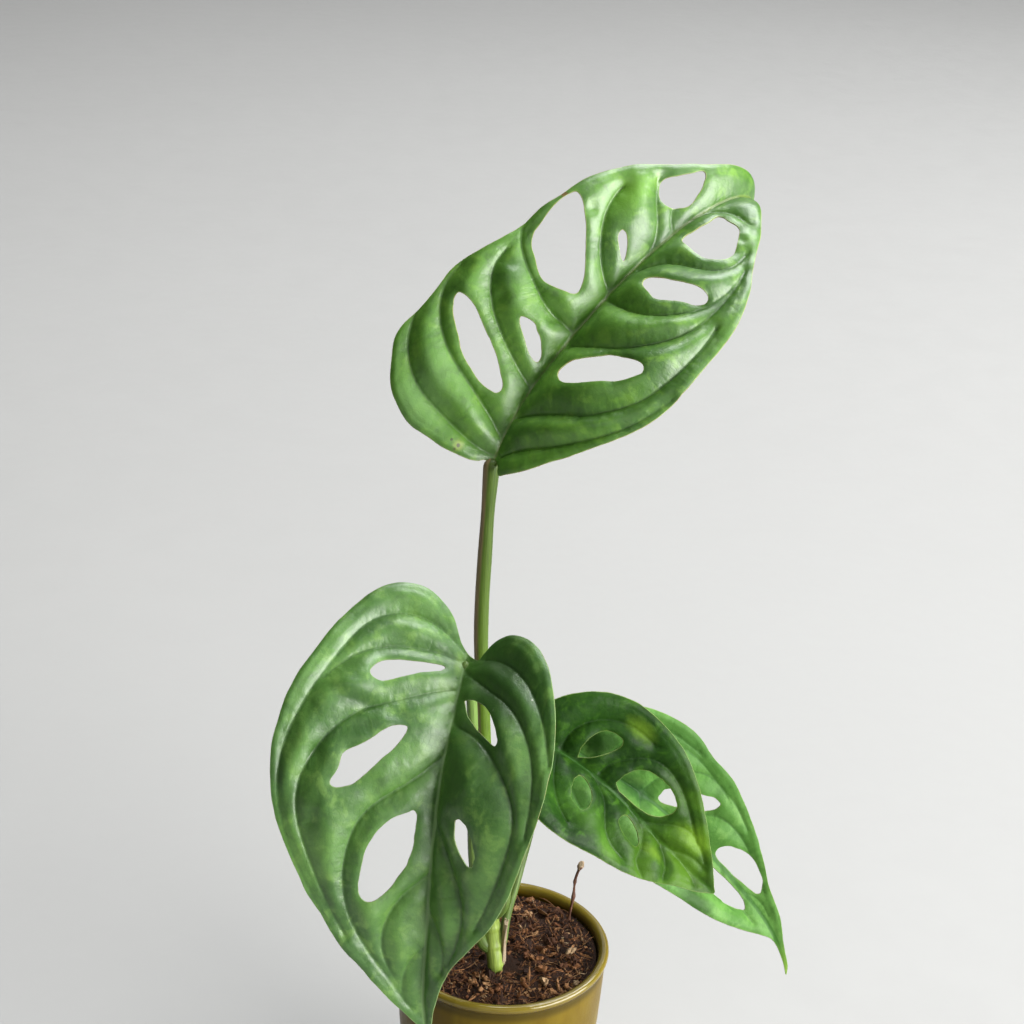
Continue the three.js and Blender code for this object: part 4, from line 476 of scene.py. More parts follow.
class Nodes:
    """A material's node tree, with short calls for the nodes used here."""

    def __init__(self, name):
        self.mat = bpy.data.materials.new(name)
        self.mat.use_nodes = True
        self.t = self.mat.node_tree
        self.t.nodes.clear()
        self.out = self.t.nodes.new("ShaderNodeOutputMaterial")

    def put(self, socket, value):
        if isinstance(value, bpy.types.NodeSocket):
            self.t.links.new(value, socket)
        elif isinstance(value, (tuple, list)) and len(value) == 3 and socket.type == "RGBA":
            socket.default_value = (*value, 1.0)
        else:
            socket.default_value = value

    def node(self, kind, inputs=None, **props):
        n = self.t.nodes.new("ShaderNode" + kind)
        for k, v in props.items():
            setattr(n, k, v)
        for k, v in (inputs or {}).items():
            self.put(n.inputs[k], v)
        return n

    def attr(self, name, vector=False):
        n = self.node("Attribute", attribute_name=name, attribute_type="GEOMETRY")
        return n.outputs["Vector" if vector else "Fac"]

    def math(self, op, a, b=0.0, c=0.0, clamp=False):
        n = self.node("Math", operation=op, use_clamp=clamp)
        for i, v in enumerate((a, b, c)):
            self.put(n.inputs[i], v)
        return n.outputs[0]

    def ramp(self, x, a, b, lo=0.0, hi=1.0, kind="SMOOTHSTEP"):
        n = self.node("MapRange", interpolation_type=kind)
        n.clamp = True
        for i, v in enumerate((x, a, b, lo, hi)):
            self.put(n.inputs[i], v)
        return n.outputs[0]

    def mix(self, f, a, b, mode="MIX"):
        n = self.node("Mix", data_type="RGBA", blend_type=mode, clamp_factor=True)
        self.put(n.inputs["Factor"], f)
        self.put([i for i in n.inputs if i.name == "A" and i.type == "RGBA"][0], a)
        self.put([i for i in n.inputs if i.name == "B" and i.type == "RGBA"][0], b)
        return [o for o in n.outputs if o.type == "RGBA"][0]

    def noise(self, vec, scale, detail=3.0, rough=0.55, distort=0.0, dims="3D"):
        n = self.node("TexNoise", {"Vector": vec, "Scale": scale, "Detail": detail, "Roughness": rough, "Distortion": distort},
                      noise_dimensions=dims)
        return n.outputs["Fac"]

    def scaled(self, vec, xyz):
        n = self.node("VectorMath", operation="MULTIPLY")
        self.put(n.inputs[0], vec)
        self.put(n.inputs[1], xyz)
        return n.outputs[0]

    def shifted(self, vec, xyz):
        n = self.node("VectorMath", operation="ADD")
        self.put(n.inputs[0], vec)
        self.put(n.inputs[1], xyz)
        return n.outputs[0]

    def bump(self, height, strength, distance, normal=None):
        n = self.node("Bump", {"Height": height, "Strength": strength, "Distance": distance})
        if normal is not None:
            self.put(n.inputs["Normal"], normal)
        return n.outputs["Normal"]

    def mm(self):
        """Object coordinates in millimetres."""
        return self.scaled(self.node("TexCoord").outputs["Object"], (1000.0, 1000.0, 1000.0))

    def surface(self, shader):
        self.t.links.new(shader, self.out.inputs["Surface"])
        return self.mat

# ---------------------------------------------------------------- leaves

class Blade:
    """The folded surface a leaf's flat drawing is laid on."""

    def __init__(self, d, trough=0.9):
        self.L, self.trough = d["length"], trough
        self.mid, self.facing = spline(d["midrib"]), spline(d["facing"])
        self.fold = [spline(np.radians(d["fold_" + k])) for k in "ab"]
        self.curl = [spline(np.radians(d["curl_" + k])) for k in "ab"]

    def point(self, s, t):
        u = s / self.L
        uc = np.clip(u, 0, 1)
        M, slope = self.mid(u)
        T = unit(slope)
        N = self.facing(uc)[0]
        N = unit(N - (N * T).sum(-1, keepdims=True) * T)
        B = np.cross(T, N)
        a = t < 0
        phi = np.where(a, self.fold[0](uc)[0][..., 0], self.fold[1](uc)[0][..., 0])
        k = np.where(a, self.curl[0](uc)[0][..., 0], self.curl[1](uc)[0][..., 0])
        k = np.where(np.abs(k) < 1e-6, 1e-6, k)
        w = np.abs(t)
        we = np.sqrt(w ** 2 + self.trough ** 2) - self.trough    # rounds the bottom of the V
        out = (np.sin(phi + k * w) - np.sin(phi)) / k
        up = -(np.cos(phi + k * we) - np.cos(phi)) / k
        return M + (np.sign(t) * out)[..., None] * B + up[..., None] * N

    def normal(self, s, t, e=0.5):
        ds = self.point(s + e, t) - self.point(s - e, t)
        dt = self.point(s, t + e) - self.point(s, t - e)
        return unit(np.cross(dt, ds))


def leaf(name, d, mats, step, puff, width, seed, thick=0.42, rib=1.05, extra=None, smooth=14, wave=0.40, ribs=0.08, steep=(0.55, 0.55), ridge=0.42, fur=1.0):
    """A leaf as one closed blade with raised quilting between its impressed veins."""
    blade = Blade(d)
    L = blade.L
    margin = curve(d["margin"], 0.8, closed=True)
    holes = [curve(h, 0.7, closed=True) for h in d["holes"]]
    veins = [curve(v, 0.8) for v in d["veins"]]
    loops = [margin] + holes

    # points: the loops, rows along the midrib and the veins, and an even spread between them
    edges, start = [], 0
    for l in loops:
        n = len(l)
        edges += [(start + i, start + (i + 1) % n) for i in range(n)]
        start += n
    rows = []
    s = np.arange(0.7, L - 0.6, 0.75)
    for t in (0.0, 0.42, -0.42, 0.95, -0.95, 1.6, -1.6):
        rows.append(np.c_[s, np.full(len(s), t) * (1 - 0.35 * s / L)])
    for v in veins:
        d0 = unit(np.gradient(v, axis=0))
        side = np.c_[-d0[:, 1], d0[:, 0]]
        for o in (0.0, 0.5, -0.5):
            rows.append(v + side * o)
    rows = np.vstack(rows)
    kept = [rows[0]]
    grid = {}

    def free(q, gap):
        i, j = int(q[0] // gap), int(q[1] // gap)
        for a in (i - 1, i, i + 1):
            for b in (j - 1, j, j + 1):
                for p in grid.get((a, b), ()):
                    if (p[0] - q[0]) ** 2 + (p[1] - q[1]) ** 2 < gap * gap:
                        return False
        return True

    gap = 0.38
    kept = []
    for q in rows:
        if free(q, gap):
            grid.setdefault((int(q[0] // gap), int(q[1] // gap)), []).append(q)
            kept.append(q)
    rows = np.array(kept)
    rise = step * math.sqrt(3) / 2
    hexes = []
    for r in range(int(-24 / rise), int((L + 4) / rise)):
        t = np.arange(-56, 56, step) + (step / 2 if r % 2 else 0)
        hexes.append(np.c_[np.full(len(t), r * rise), t])
    hexes = np.vstack(hexes)
    hexes = hexes[inside(margin, hexes)]
    ds = near(hexes, veins)[0]
    hexes = hexes[(ds > 0.5 + 0.42 * step) & (np.abs(hexes[:, 1]) > 1.25 + 0.42 * step)]
    pts = np.vstack([rows, hexes])
    pts = pts[inside(margin, pts)]
    for h in holes:
        pts = pts[~inside(h, pts)]
    de = near(pts, loops, closed=True)[0]
    pts = pts[de > 0.36]
    allp = np.vstack(loops + [pts])
    V, _, F, *_ = delaunay_2d_cdt([Vector(q) for q in allp], edges, [], 0, 1e-5, True)
    V = np.array([(v.x, v.y) for v in V])
    F = np.array([f for f in F if len(f) == 3])
    c = V[F].mean(1)
    ok = inside(margin, c)
    for h in holes:
        ok &= ~inside(h, c)
    F = F[ok]
    used = np.unique(F)
    back = np.full(len(V), -1)
    back[used] = np.arange(len(used))
    V, F = V[used], back[F]
    area = np.cross(V[F[:, 1]] - V[F[:, 0]], V[F[:, 2]] - V[F[:, 0]])
    F[area < 0] = F[area < 0][:, ::-1]

    # relief
    s, t = V[:, 0], V[:, 1]
    each = [near(V, [v])[:2] for v in veins]
    dist, arcs = np.array([e[0] for e in each]), np.array([e[1] for e in each])
    order = np.argsort(dist, axis=0)[:2]
    rows = np.arange(len(V))
    who, dv, va = order[0], dist[order[0], rows], arcs[order[0], rows]
    dm = np.abs(t)
    eo = near(V, [margin], closed=True)[0]
    eh = near(V, holes, closed=True)[0] if holes else np.full(len(V), 50.0)
    n1 = soft_noise(V, 17.0, seed)
    n2 = soft_noise(V, 6.0, seed + 11)
    n3 = soft_noise(V, 2.4, seed + 23)
    dome = puff * width * np.arctan(np.minimum(dv, np.where(t < 0, *steep) * dm + 0.25) / width)     # tent between the veins, rounded over its ridge below
    dome *= 1 + 0.22 * n1
    ea, eb = np.array(sorted({(min(f[i], f[i - 1]), max(f[i], f[i - 1])) for f in F for i in range(3)})).T
    links = np.bincount(ea, minlength=len(V)) + np.bincount(eb, minlength=len(V))
    held = (dv < 0.3) | (dm < 0.5)
    for _ in range(smooth):
        mean = (np.bincount(ea, dome[eb], len(V)) + np.bincount(eb, dome[ea], len(V))) / links
        dome = np.where(held, dome, 0.35 * dome + 0.65 * mean)
    h = dome * (1 - 0.55 * np.exp(-eo / 3.2))
    h -= 0.05 * np.exp(-(dv / 0.36) ** 2) * ease(eo, 0.3, 3.0)          # the vein's own sharp crease
    h -= 0.17 * np.exp(-((eo - 2.5) / 0.60) ** 2)                       # crease that runs along the margin
    h -= 0.7 * np.exp(-eh / 2.0)                                       # blade turns down round its holes
    ripple, furrow, weights = 0.0, 0.0, 0.0                              # furrows that run from vein to vein
    for k in order:
        dk, ak = dist[k, rows], arcs[k, rows]
        w = 1 / (dk + 0.8) ** 3
        ripple = ripple + w * soft_noise(np.c_[ak * 0.40, dk * 0.07, k * 3.7], 1.0, seed + 51)
        furrow = furrow + w * (soft_noise(np.c_[ak * 0.85, dk * 0.10, k * 5.3], 1.0, seed + 77)
                               + 0.5 * soft_noise(np.c_[ak * 1.9, dk * 0.2, k * 2.9], 1.0, seed + 91))
        weights = weights + w
    ripple, furrow = ripple / weights, furrow / weights
    h += wave * n2 * ease(dv, 0.2, 2.5) + 0.07 * n3 + (ribs * ripple + 0.025 * fur * furrow) * ease(dv, 0.2, 1.6)
    taper = np.clip(1 - s / L, 0.05, 1)
    h += (ridge * taper ** 0.6) * np.exp(-(dm / (0.30 + 0.55 * taper)) ** 2)   # midrib stands a little proud of its groove
    if extra is not None:
        h += extra(s, t)
    P, N = blade.point(s, t), blade.normal(s, t)
    half = 0.5 * thick * (1 - 0.25 * np.exp(-eo / 0.8))
    lift = (rib * (0.25 + 0.75 * taper) * np.exp(-(dm / (0.5 + 0.75 * taper)) ** 2)
            + 0.32 * np.exp(-(dv / 0.42) ** 2) * ease(eo, 0.4, 5.0)) * ease(np.minimum(eo, eh), 0.2, 1.6)
    top = P + N * (h + half)[:, None]
    low = P + N * (h - half - lift)[:, None]

    # close the blade with a wall along every loop
    n = len(V)
    he = {}
    for f in F:
        for i in range(3):
            he[(f[i], f[(i + 1) % 3])] = True
    rim = [(a, b) for (a, b) in he if (b, a) not in he]
    bound = np.unique(np.array(rim))
    mid = {int(k): 2 * n + i for i, k in enumerate(bound)}
    outw = np.zeros((n, 2))
    for a, b in rim:
        e = V[b] - V[a]
        nn = np.array([e[1], -e[0]]) / max(np.hypot(*e), 1e-9)
        outw[a] += nn
        outw[b] += nn
    q = V[bound] + unit(outw[bound]) * 0.09
    middle = blade.point(q[:, 0], q[:, 1]) + blade.normal(q[:, 0], q[:, 1]) * h[bound][:, None]
    verts = np.vstack([top, low, middle])
    # the drawing's (s, t) turns the other way round on the upper face
    faces = [(c, b, a) for a, b, c in F] + [(n + a, n + b, n + c) for a, b, c in F]
    slots = [0] * len(F) + [1] * len(F)
    sharp = []
    for a, b in rim:
        a, b = int(a), int(b)
        faces += [(a, b, mid[b], mid[a]), (mid[a], mid[b], n + b, n + a)]
        slots += [2, 2]
        sharp += [(a, b), (n + a, n + b)]
    w0 = V[:, 0]
    flat = np.c_[s, t, np.full(n, seed * 7.0)]
    two = lambda x: np.concatenate([x, x, x[bound]])
    attrs = dict(flat=np.vstack([flat, flat, flat[bound]]), vd=two(dv), md=two(dm), ed=two(np.minimum(eo, eh)),
                 eo=two(eo), furrow=two(0.5 + 0.6 * fur * furrow), su=two(s / L))
    ob = make_mesh(name, verts, faces, mats, slots, attrs, sharp=sharp)
    return add_piece(ob, [name.replace("_blade", "")])

# ---------------------------------------------------------------- stalks

def frames(P):
    """Axes along a line that don't twist: tangents, and two directions across."""
    T = unit(np.gradient(P, axis=0))
    a = np.array([0.0, -1.0, 0.0]) if abs(T[0][1]) < 0.8 else np.array([1.0, 0.0, 0.0])
    U = np.zeros_like(P)
    for i in range(len(P)):
        a = a - (a @ T[i]) * T[i]
        a /= np.linalg.norm(a)
        U[i] = a
    return T, U, np.cross(T, U)


def stalk(name, path, radius, mats, node, sides=24, step=1.2, section=None, caps=(1.0, 1.0), extra_verts=None, seed=0.0):
    """A closed round stalk. radius(u) gives its radius along it; section(u, angle) scales it round the outline."""
    P = curve(path, step)
    T, U, W = frames(P)
    along = np.r_[0, np.cumsum(np.linalg.norm(np.diff(P, axis=0), axis=1))]
    L = along[-1]
    u = along / L
    ang = np.arange(sides) / sides * 2 * math.pi
    r = np.array([radius(x) for x in u])
    stations = [(P[i], T[i], U[i], W[i], r[i], along[i], u[i]) for i in range(len(P))]
    pre, post = [], []
    for k in (0.35, 0.7, 0.92):                      # rounded ends
        a = math.acos(k) if k < 1 else 0
        pre.append((P[0] - T[0] * r[0] * caps[0] * math.sin(a), T[0], U[0], W[0], r[0] * k, -0.1, 0.0))
        post.insert(0, (P[-1] + T[-1] * r[-1] * caps[1] * math.sin(a), T[-1], U[-1], W[-1], r[-1] * k, L, 1.0))
    stations = pre + stations + post
    verts, la, lu, an = [], [], [], []
    for c, tt, uu, ww, rr, a0, u0 in stations:
        sc = np.array([1.0 if section is None else section(u0, q) for q in ang])
        ring = c + (np.cos(ang) * sc * rr)[:, None] * uu + (np.sin(ang) * sc * rr)[:, None] * ww
        verts.append(ring)
        la += [a0] * sides
        lu += [u0] * sides
        an += list(ang)
    verts = np.vstack(verts)
    n = len(stations)
    faces = []
    for i in range(n - 1):
        for j in range(sides):
            k = (j + 1) % sides
            faces.append((i * sides + j, i * sides + k, (i + 1) * sides + k, (i + 1) * sides + j))
    c0 = stations[0][0] - stations[0][1] * r[0] * 0.06
    c1 = stations[-1][0] + stations[-1][1] * r[-1] * 0.06
    verts = np.vstack([verts, c0, c1])
    b = n * sides
    for j in range(sides):
        k = (j + 1) % sides
        faces.append((k, j, b))
        faces.append(((n - 1) * sides + j, (n - 1) * sides + k, b + 1))
    la += [0, L]
    lu += [0, 1]
    an += [0, 0]
    ang3 = np.c_[np.cos(an), np.sin(an), np.zeros(len(an))]
    attrs = dict(along=np.array(la), share=np.array(lu), round=ang3)
    ob = make_mesh(name, verts, faces, mats, None, attrs)
    return add_piece(ob, [node] if node else [])


def bumps(u, places, height, width):
    return sum(height * math.exp(-((u - p) / width) ** 2) for p in places)


# ---------------------------------------------------------------- pot

def wall_radius(z):
    t = (z - 2.4) / (58.6 - 2.4)
    return 29.6 + 5.1 * t + 0.7 * math.sin(math.pi * min(1.0, max(0.0, t)))


def pot(mats):
    prof = [(0.0, 0.9), (20.0, 0.9), (23.2, 0.75), (24.0, 0.35), (24.5, 0.06), (25.2, 0.0), (26.3, 0.0), (26.9, 0.08),
            (27.5, 0.4), (28.3, 0.62), (28.9, 1.1), (29.3, 1.8), (29.63, 2.7)]
    prof += [(wall_radius(z), z) for z in np.arange(4.5, 58.5, 2.2)]
    prof += [(34.72, 59.3), (34.64, 60.7), (34.56, 61.8), (34.53, 62.6), (34.62, 63.3), (34.86, 63.9), (35.2, 64.4), (35.56, 64.85),
             (35.84, 65.35), (35.97, 65.9), (35.9, 66.4), (35.66, 66.8), (35.28, 67.07), (34.8, 67.2), (34.2, 67.17), (33.6, 67.0),
             (33.1, 66.65), (32.75, 66.15), (32.52, 65.5), (32.42, 64.7), (32.3, 63.0), (32.2, 59.0)]
    prof += [(wall_radius(z) - 2.5, z) for z in np.arange(55.0, 9.0, -4.0)]
    prof += [(26.6, 7.6), (25.0, 5.3), (22.0, 5.0), (0.0, 5.0)]
    n = 176
    verts, faces, slots, hgt = [(0, 0, prof[0][1])], [], [], []
    ring = []
    ang = np.arange(n) / n * 2 * math.pi
    for r, z in prof[1:-1]:
        ring.append(len(verts))
        wob = 1 + 0.0011 * np.sin(2 * ang + 0.6) + 0.0006 * np.sin(5 * ang + 0.02 * z)
        wob = 1 + (wob - 1) * min(1.0, max(0.0, (z - 1) / 6))
        verts += [(r * w * math.cos(a), r * w * math.sin(a), z) for a, w in zip(ang, wob)]
    top = len(verts)
    verts.append((0, 0, prof[-1][1]))
    for j in range(n):
        k = (j + 1) % n
        faces.append((0, ring[0] + k, ring[0] + j))
        slots.append(1)
    for i in range(len(ring) - 1):
        z = (prof[i + 1][1] + prof[i + 2][1]) / 2
        bare = prof[i + 1][0] < 27.2 and z < 1.0
        for j in range(n):
            k = (j + 1) % n
            faces.append((ring[i] + j, ring[i] + k, ring[i + 1] + k, ring[i + 1] + j))
            slots.append(1 if bare else 0)
    for j in range(n):
        k = (j + 1) % n
        faces.append((ring[-1] + j, ring[-1] + k, top))
        slots.append(0)
    for k, f in enumerate(faces):                # the wall up to the cove under the lip
        zs = [verts[i][2] for i in f]
        out = max(math.hypot(*verts[i][:2]) for i in f)
        if slots[k] == 0 and max(zs) < 64.6 and out > wall_radius(min(58.6, max(zs))) - 1.6:
            slots[k] = 2
    ob = make_mesh("pot_glazed", verts, faces, mats, slots)
    return add_piece(ob, ["pot"])


# ---------------------------------------------------------------- potting mix

def closed_blob(rng, size, subdiv_dirs, faces):
    """One lumpy crumb: a sphere's points pushed in and out, stretched, and turned at random."""
    v = subdiv_dirs.copy()
    ph = rng.uniform(0, 6.28, (4, 3))
    fr = rng.normal(0, 1.6, (4, 3))
    r = 1 + sum(0.16 * np.sin(v @ fr[i] * 2 + ph[i, 0]) for i in range(4))
    r *= 1 + 0.07 * rng.standard_normal(len(v))
    v = v * r[:, None] * np.array(size)
    q = rng.standard_normal(4)
    q /= np.linalg.norm(q)
    w, x, y, z = q
    R = np.array([[1 - 2 * (y * y + z * z), 2 * (x * y - z * w), 2 * (x * z + y * w)],
                  [2 * (x * y + z * w), 1 - 2 * (x * x + z * z), 2 * (y * z - x * w)],
                  [2 * (x * z - y * w), 2 * (y * z + x * w), 1 - 2 * (x * x + y * y)]])
    return v @ R.T


def ico(level):
    g = (1 + 5 ** 0.5) / 2
    V = [(-1, g, 0), (1, g, 0), (-1, -g, 0), (1, -g, 0), (0, -1, g), (0, 1, g), (0, -1, -g), (0, 1, -g), (g, 0, -1), (g, 0, 1), (-g, 0, -1), (-g, 0, 1)]
    F = [(0, 11, 5), (0, 5, 1), (0, 1, 7), (0, 7, 10), (0, 10, 11), (1, 5, 9), (5, 11, 4), (11, 10, 2), (10, 7, 6), (7, 1, 8),
         (3, 9, 4), (3, 4, 2), (3, 2, 6), (3, 6, 8), (3, 8, 9), (4, 9, 5), (2, 4, 11), (6, 2, 10), (8, 6, 7), (9, 8, 1)]
    V = [np.array(v) / np.linalg.norm(v) for v in V]
    for _ in range(level):
        cache, G = {}, []

        def half(a, b):
            k = (min(a, b), max(a, b))
            if k not in cache:
                m = V[a] + V[b]
                V.append(m / np.linalg.norm(m))
                cache[k] = len(V) - 1
            return cache[k]

        for a, b, c in F:
            x, y, z = half(a, b), half(b, c), half(c, a)
            G += [(a, x, z), (x, b, y), (z, y, c), (x, y, z)]
        F = G
    return np.array(V), np.array(F)


SOIL_TOP = 63.5


def stem_hollow(x, y):
    """The hollow beside the stem, where the mix is sunk and its colour is darkened with painted shade: 0 to 1."""
    return np.exp(-((x - 4.6) / 3.0) ** 2 - ((y + 9.0) / 9.5) ** 2)


def soil_height(x, y):
    """Rough height of the mix, in mm."""
    P = np.c_[x, y]
    h = 0.85 * soft_noise(P, 11.0, 3.1) + 0.75 * soft_noise(P, 4.6, 9.4)
    m = soft_noise(P, 2.1, 15.7)
    h += 0.55 * m + 0.28 * soft_noise(P, 1.05, 22.2)
    h -= 1.5 * np.clip(soft_noise(P, 5.2, 31.0) - 0.28, 0, 1) * 3.0          # gaps between the lumps
    r = np.hypot(x, y)
    h -= 1.5 * stem_hollow(x, y)
    return SOIL_TOP + 0.5 + h * ease(32.6 - r, 0.0, 3.0) - 0.35 * ease(r, 27, 32)


def soil_skin(mats, holes):
    """The crumbly surface of the mix: a closed lumpy mat that lies on the plug."""
    step, R = 0.52, 32.0
    rise = step * math.sqrt(3) / 2
    pts = []
    for i in range(int(-R / rise) - 1, int(R / rise) + 2):
        x = np.arange(-R - 1, R + 1, step) + (step / 2 if i % 2 else 0)
        pts.append(np.c_[x, np.full(len(x), i * rise)])
    pts = np.vstack(pts)
    pts = pts[np.hypot(pts[:, 0], pts[:, 1]) < R - 0.25]
    ang = np.arange(380) / 380 * 2 * math.pi
    edge = np.c_[R * np.cos(ang), R * np.sin(ang)]
    m = len(edge)
    allp = np.vstack([edge, pts])
    V, _, F, *_ = delaunay_2d_cdt([Vector(q) for q in allp], [(i, (i + 1) % m) for i in range(m)], [], 0, 1e-5, True)
    V = np.array([(v.x, v.y) for v in V])
    F = np.array([f for f in F if len(f) == 3])
    area = np.cross(V[F[:, 1]] - V[F[:, 0]], V[F[:, 2]] - V[F[:, 0]])
    F = F[np.abs(area) > 1e-7]
    area = np.cross(V[F[:, 1]] - V[F[:, 0]], V[F[:, 2]] - V[F[:, 0]])
    F[area < 0] = F[area < 0][:, ::-1]
    z = soil_height(V[:, 0], V[:, 1])
    side = np.c_[soft_noise(V, 1.7, 41.0), soft_noise(V, 1.7, 47.0)] * 0.35 * ease(R - np.hypot(*V.T), 0.2, 2.0)[:, None]
    top = np.c_[V + side, z]
    low = np.c_[V, np.full(len(V), SOIL_TOP - 1.7)]
    n = len(V)
    faces = [tuple(f) for f in F] + [(n + a, n + c, n + b) for a, b, c in F]
    he = {(f[i], f[(i + 1) % 3]) for f in F for i in range(3)}
    faces += [(b, a, n + a, n + b) for a, b in he if (b, a) not in he]
    # tone: painted shade in the hollow by the stem
    ob = make_mesh("soil_surface", np.vstack([top, low]), faces, mats, None, dict(tone=np.tile(-0.8 * stem_hollow(*V.T), 2)))
    return add_piece(ob)


def crumbs(mats, keep_off, count=1500):
    """Crumbs of peat, bits of bark and coir chips lying on the surface."""
    rng = np.random.default_rng(411)
    D, F = ico(1)
    D2, F2 = ico(2)
    V, faces, tone, slots = [], [], [], []
    made = 0
    tries = 0
    while made < count and tries < count * 6:
        tries += 1
        r, a = 31.4 * math.sqrt(rng.uniform()), rng.uniform(0, 2 * math.pi)
        x, y = r * math.cos(a), r * math.sin(a)
        big = rng.uniform() < 0.10
        s = rng.uniform(1.0, 1.9) if big else 0.32 + 0.75 * rng.uniform() ** 2.2
        if any(math.hypot(x - kx, y - ky) < kr + s for kx, ky, kr in keep_off) or r + 1.6 * s > 31.7:
            continue
        kind = rng.uniform()
        flatness = 0.32 if kind < 0.25 else rng.uniform(0.6, 1.0)
        size = (s, s * rng.uniform(0.45, 0.95), s * flatness)
        if kind > 0.62:                          # splinters of coir and bark
            size = (s * rng.uniform(1.5, 2.3), s * rng.uniform(0.22, 0.40), s * rng.uniform(0.18, 0.32))
        d, f = (D2, F2) if big else (D, F)
        v = closed_blob(rng, size, d, f)
        z = float(soil_height(np.array([x]), np.array([y]))[0]) + s * rng.uniform(-0.25, 0.45)
        v = v + np.array([x, y, z])
        b = sum(len(q) for q in V)
        V.append(v)
        faces += [tuple(q + b for q in t) for t in f]
        # crumbs in the hollow by the stem are darker: painted shade
        k = rng.uniform() * (1 - 0.85 * float(stem_hollow(x, y)))
        tone += [k] * len(v)
        made += 1
    ob = make_mesh("soil_crumbs", np.vstack(V), faces, mats, None, dict(tone=np.array(tone)), smooth=False)
    return add_piece(ob)


def fibres(mats, keep_off, count=1250):
    """Coir fibres: thin bent strands that lie on the crumbs and stick up between them."""
    rng = np.random.default_rng(77)
    V, faces, tone = [], [], []
    made = 0
    sides = 4
    ang = np.arange(sides) / sides * 2 * math.pi
    base = 0
    while made < count:
        r, a = 31.0 * math.sqrt(rng.uniform()), rng.uniform(0, 2 * math.pi)
        x, y = r * math.cos(a), r * math.sin(a)
        if any(math.hypot(x - kx, y - ky) < kr + 0.8 for kx, ky, kr in keep_off):
            continue
        length = rng.uniform(1.8, 7.0) * (1.6 if rng.uniform() < 0.10 else 1.0)
        steps = max(5, int(length / 0.9))
        head = rng.uniform(0, 2 * math.pi)
        z = float(soil_height(np.array([x]), np.array([y]))[0]) + rng.uniform(-0.3, 0.5)
        rise = rng.normal(0.05, 0.28)
        q = np.array([x, y, z])
        line = [q.copy()]
        bend = rng.normal(0, 0.22)
        for i in range(steps):
            head += bend + rng.normal(0, 0.16)
            d = np.array([math.cos(head), math.sin(head), rise])
            q = q + d / np.linalg.norm(d) * length / steps
            rise += rng.normal(-0.06, 0.10)
            h = float(soil_height(np.array([q[0]]), np.array([q[1]]))[0])
            q[2] = min(max(q[2], h - 0.15), h + 2.6)
            line.append(q.copy())
        line = np.array(line)
        if (np.hypot(line[:, 0], line[:, 1]) > 31.7).any():
            continue
        if any((np.hypot(line[:, 0] - kx, line[:, 1] - ky) < kr + 0.25).any() for kx, ky, kr in keep_off):
            continue
        T, U, W = frames(line)
        rad = rng.uniform(0.06, 0.20) * (1.6 if rng.uniform() < 0.10 else 1)
        n = len(line)
        for i in range(n):
            rr = rad * (0.45 + 0.55 * math.sin(math.pi * min(1, (i + 0.6) / n)))
            V.append(line[i] + (np.cos(ang) * rr)[:, None] * U[i] + (np.sin(ang) * rr)[:, None] * W[i])
        for i in range(n - 1):
            for j in range(sides):
                k = (j + 1) % sides
                faces.append((base + i * sides + j, base + i * sides + k, base + (i + 1) * sides + k, base + (i + 1) * sides + j))
        faces.append(tuple(base + j for j in range(sides))[::-1])
        faces.append(tuple(base + (n - 1) * sides + j for j in range(sides)))
        k = rng.uniform()
        tone += [k] * (n * sides)
        base += n * sides
        made += 1
    ob = make_mesh("soil_fibres", np.vstack(V), faces, mats, None, dict(tone=np.array(tone)))
    return add_piece(ob)

# ---------------------------------------------------------------- materials

def wobble(m, flat):
    """A slow noise colour used to break up the outline of a mark."""
    return m.node("TexNoise", {"Vector": flat, "Scale": 0.55, "Detail": 3.0}).outputs["Color"]


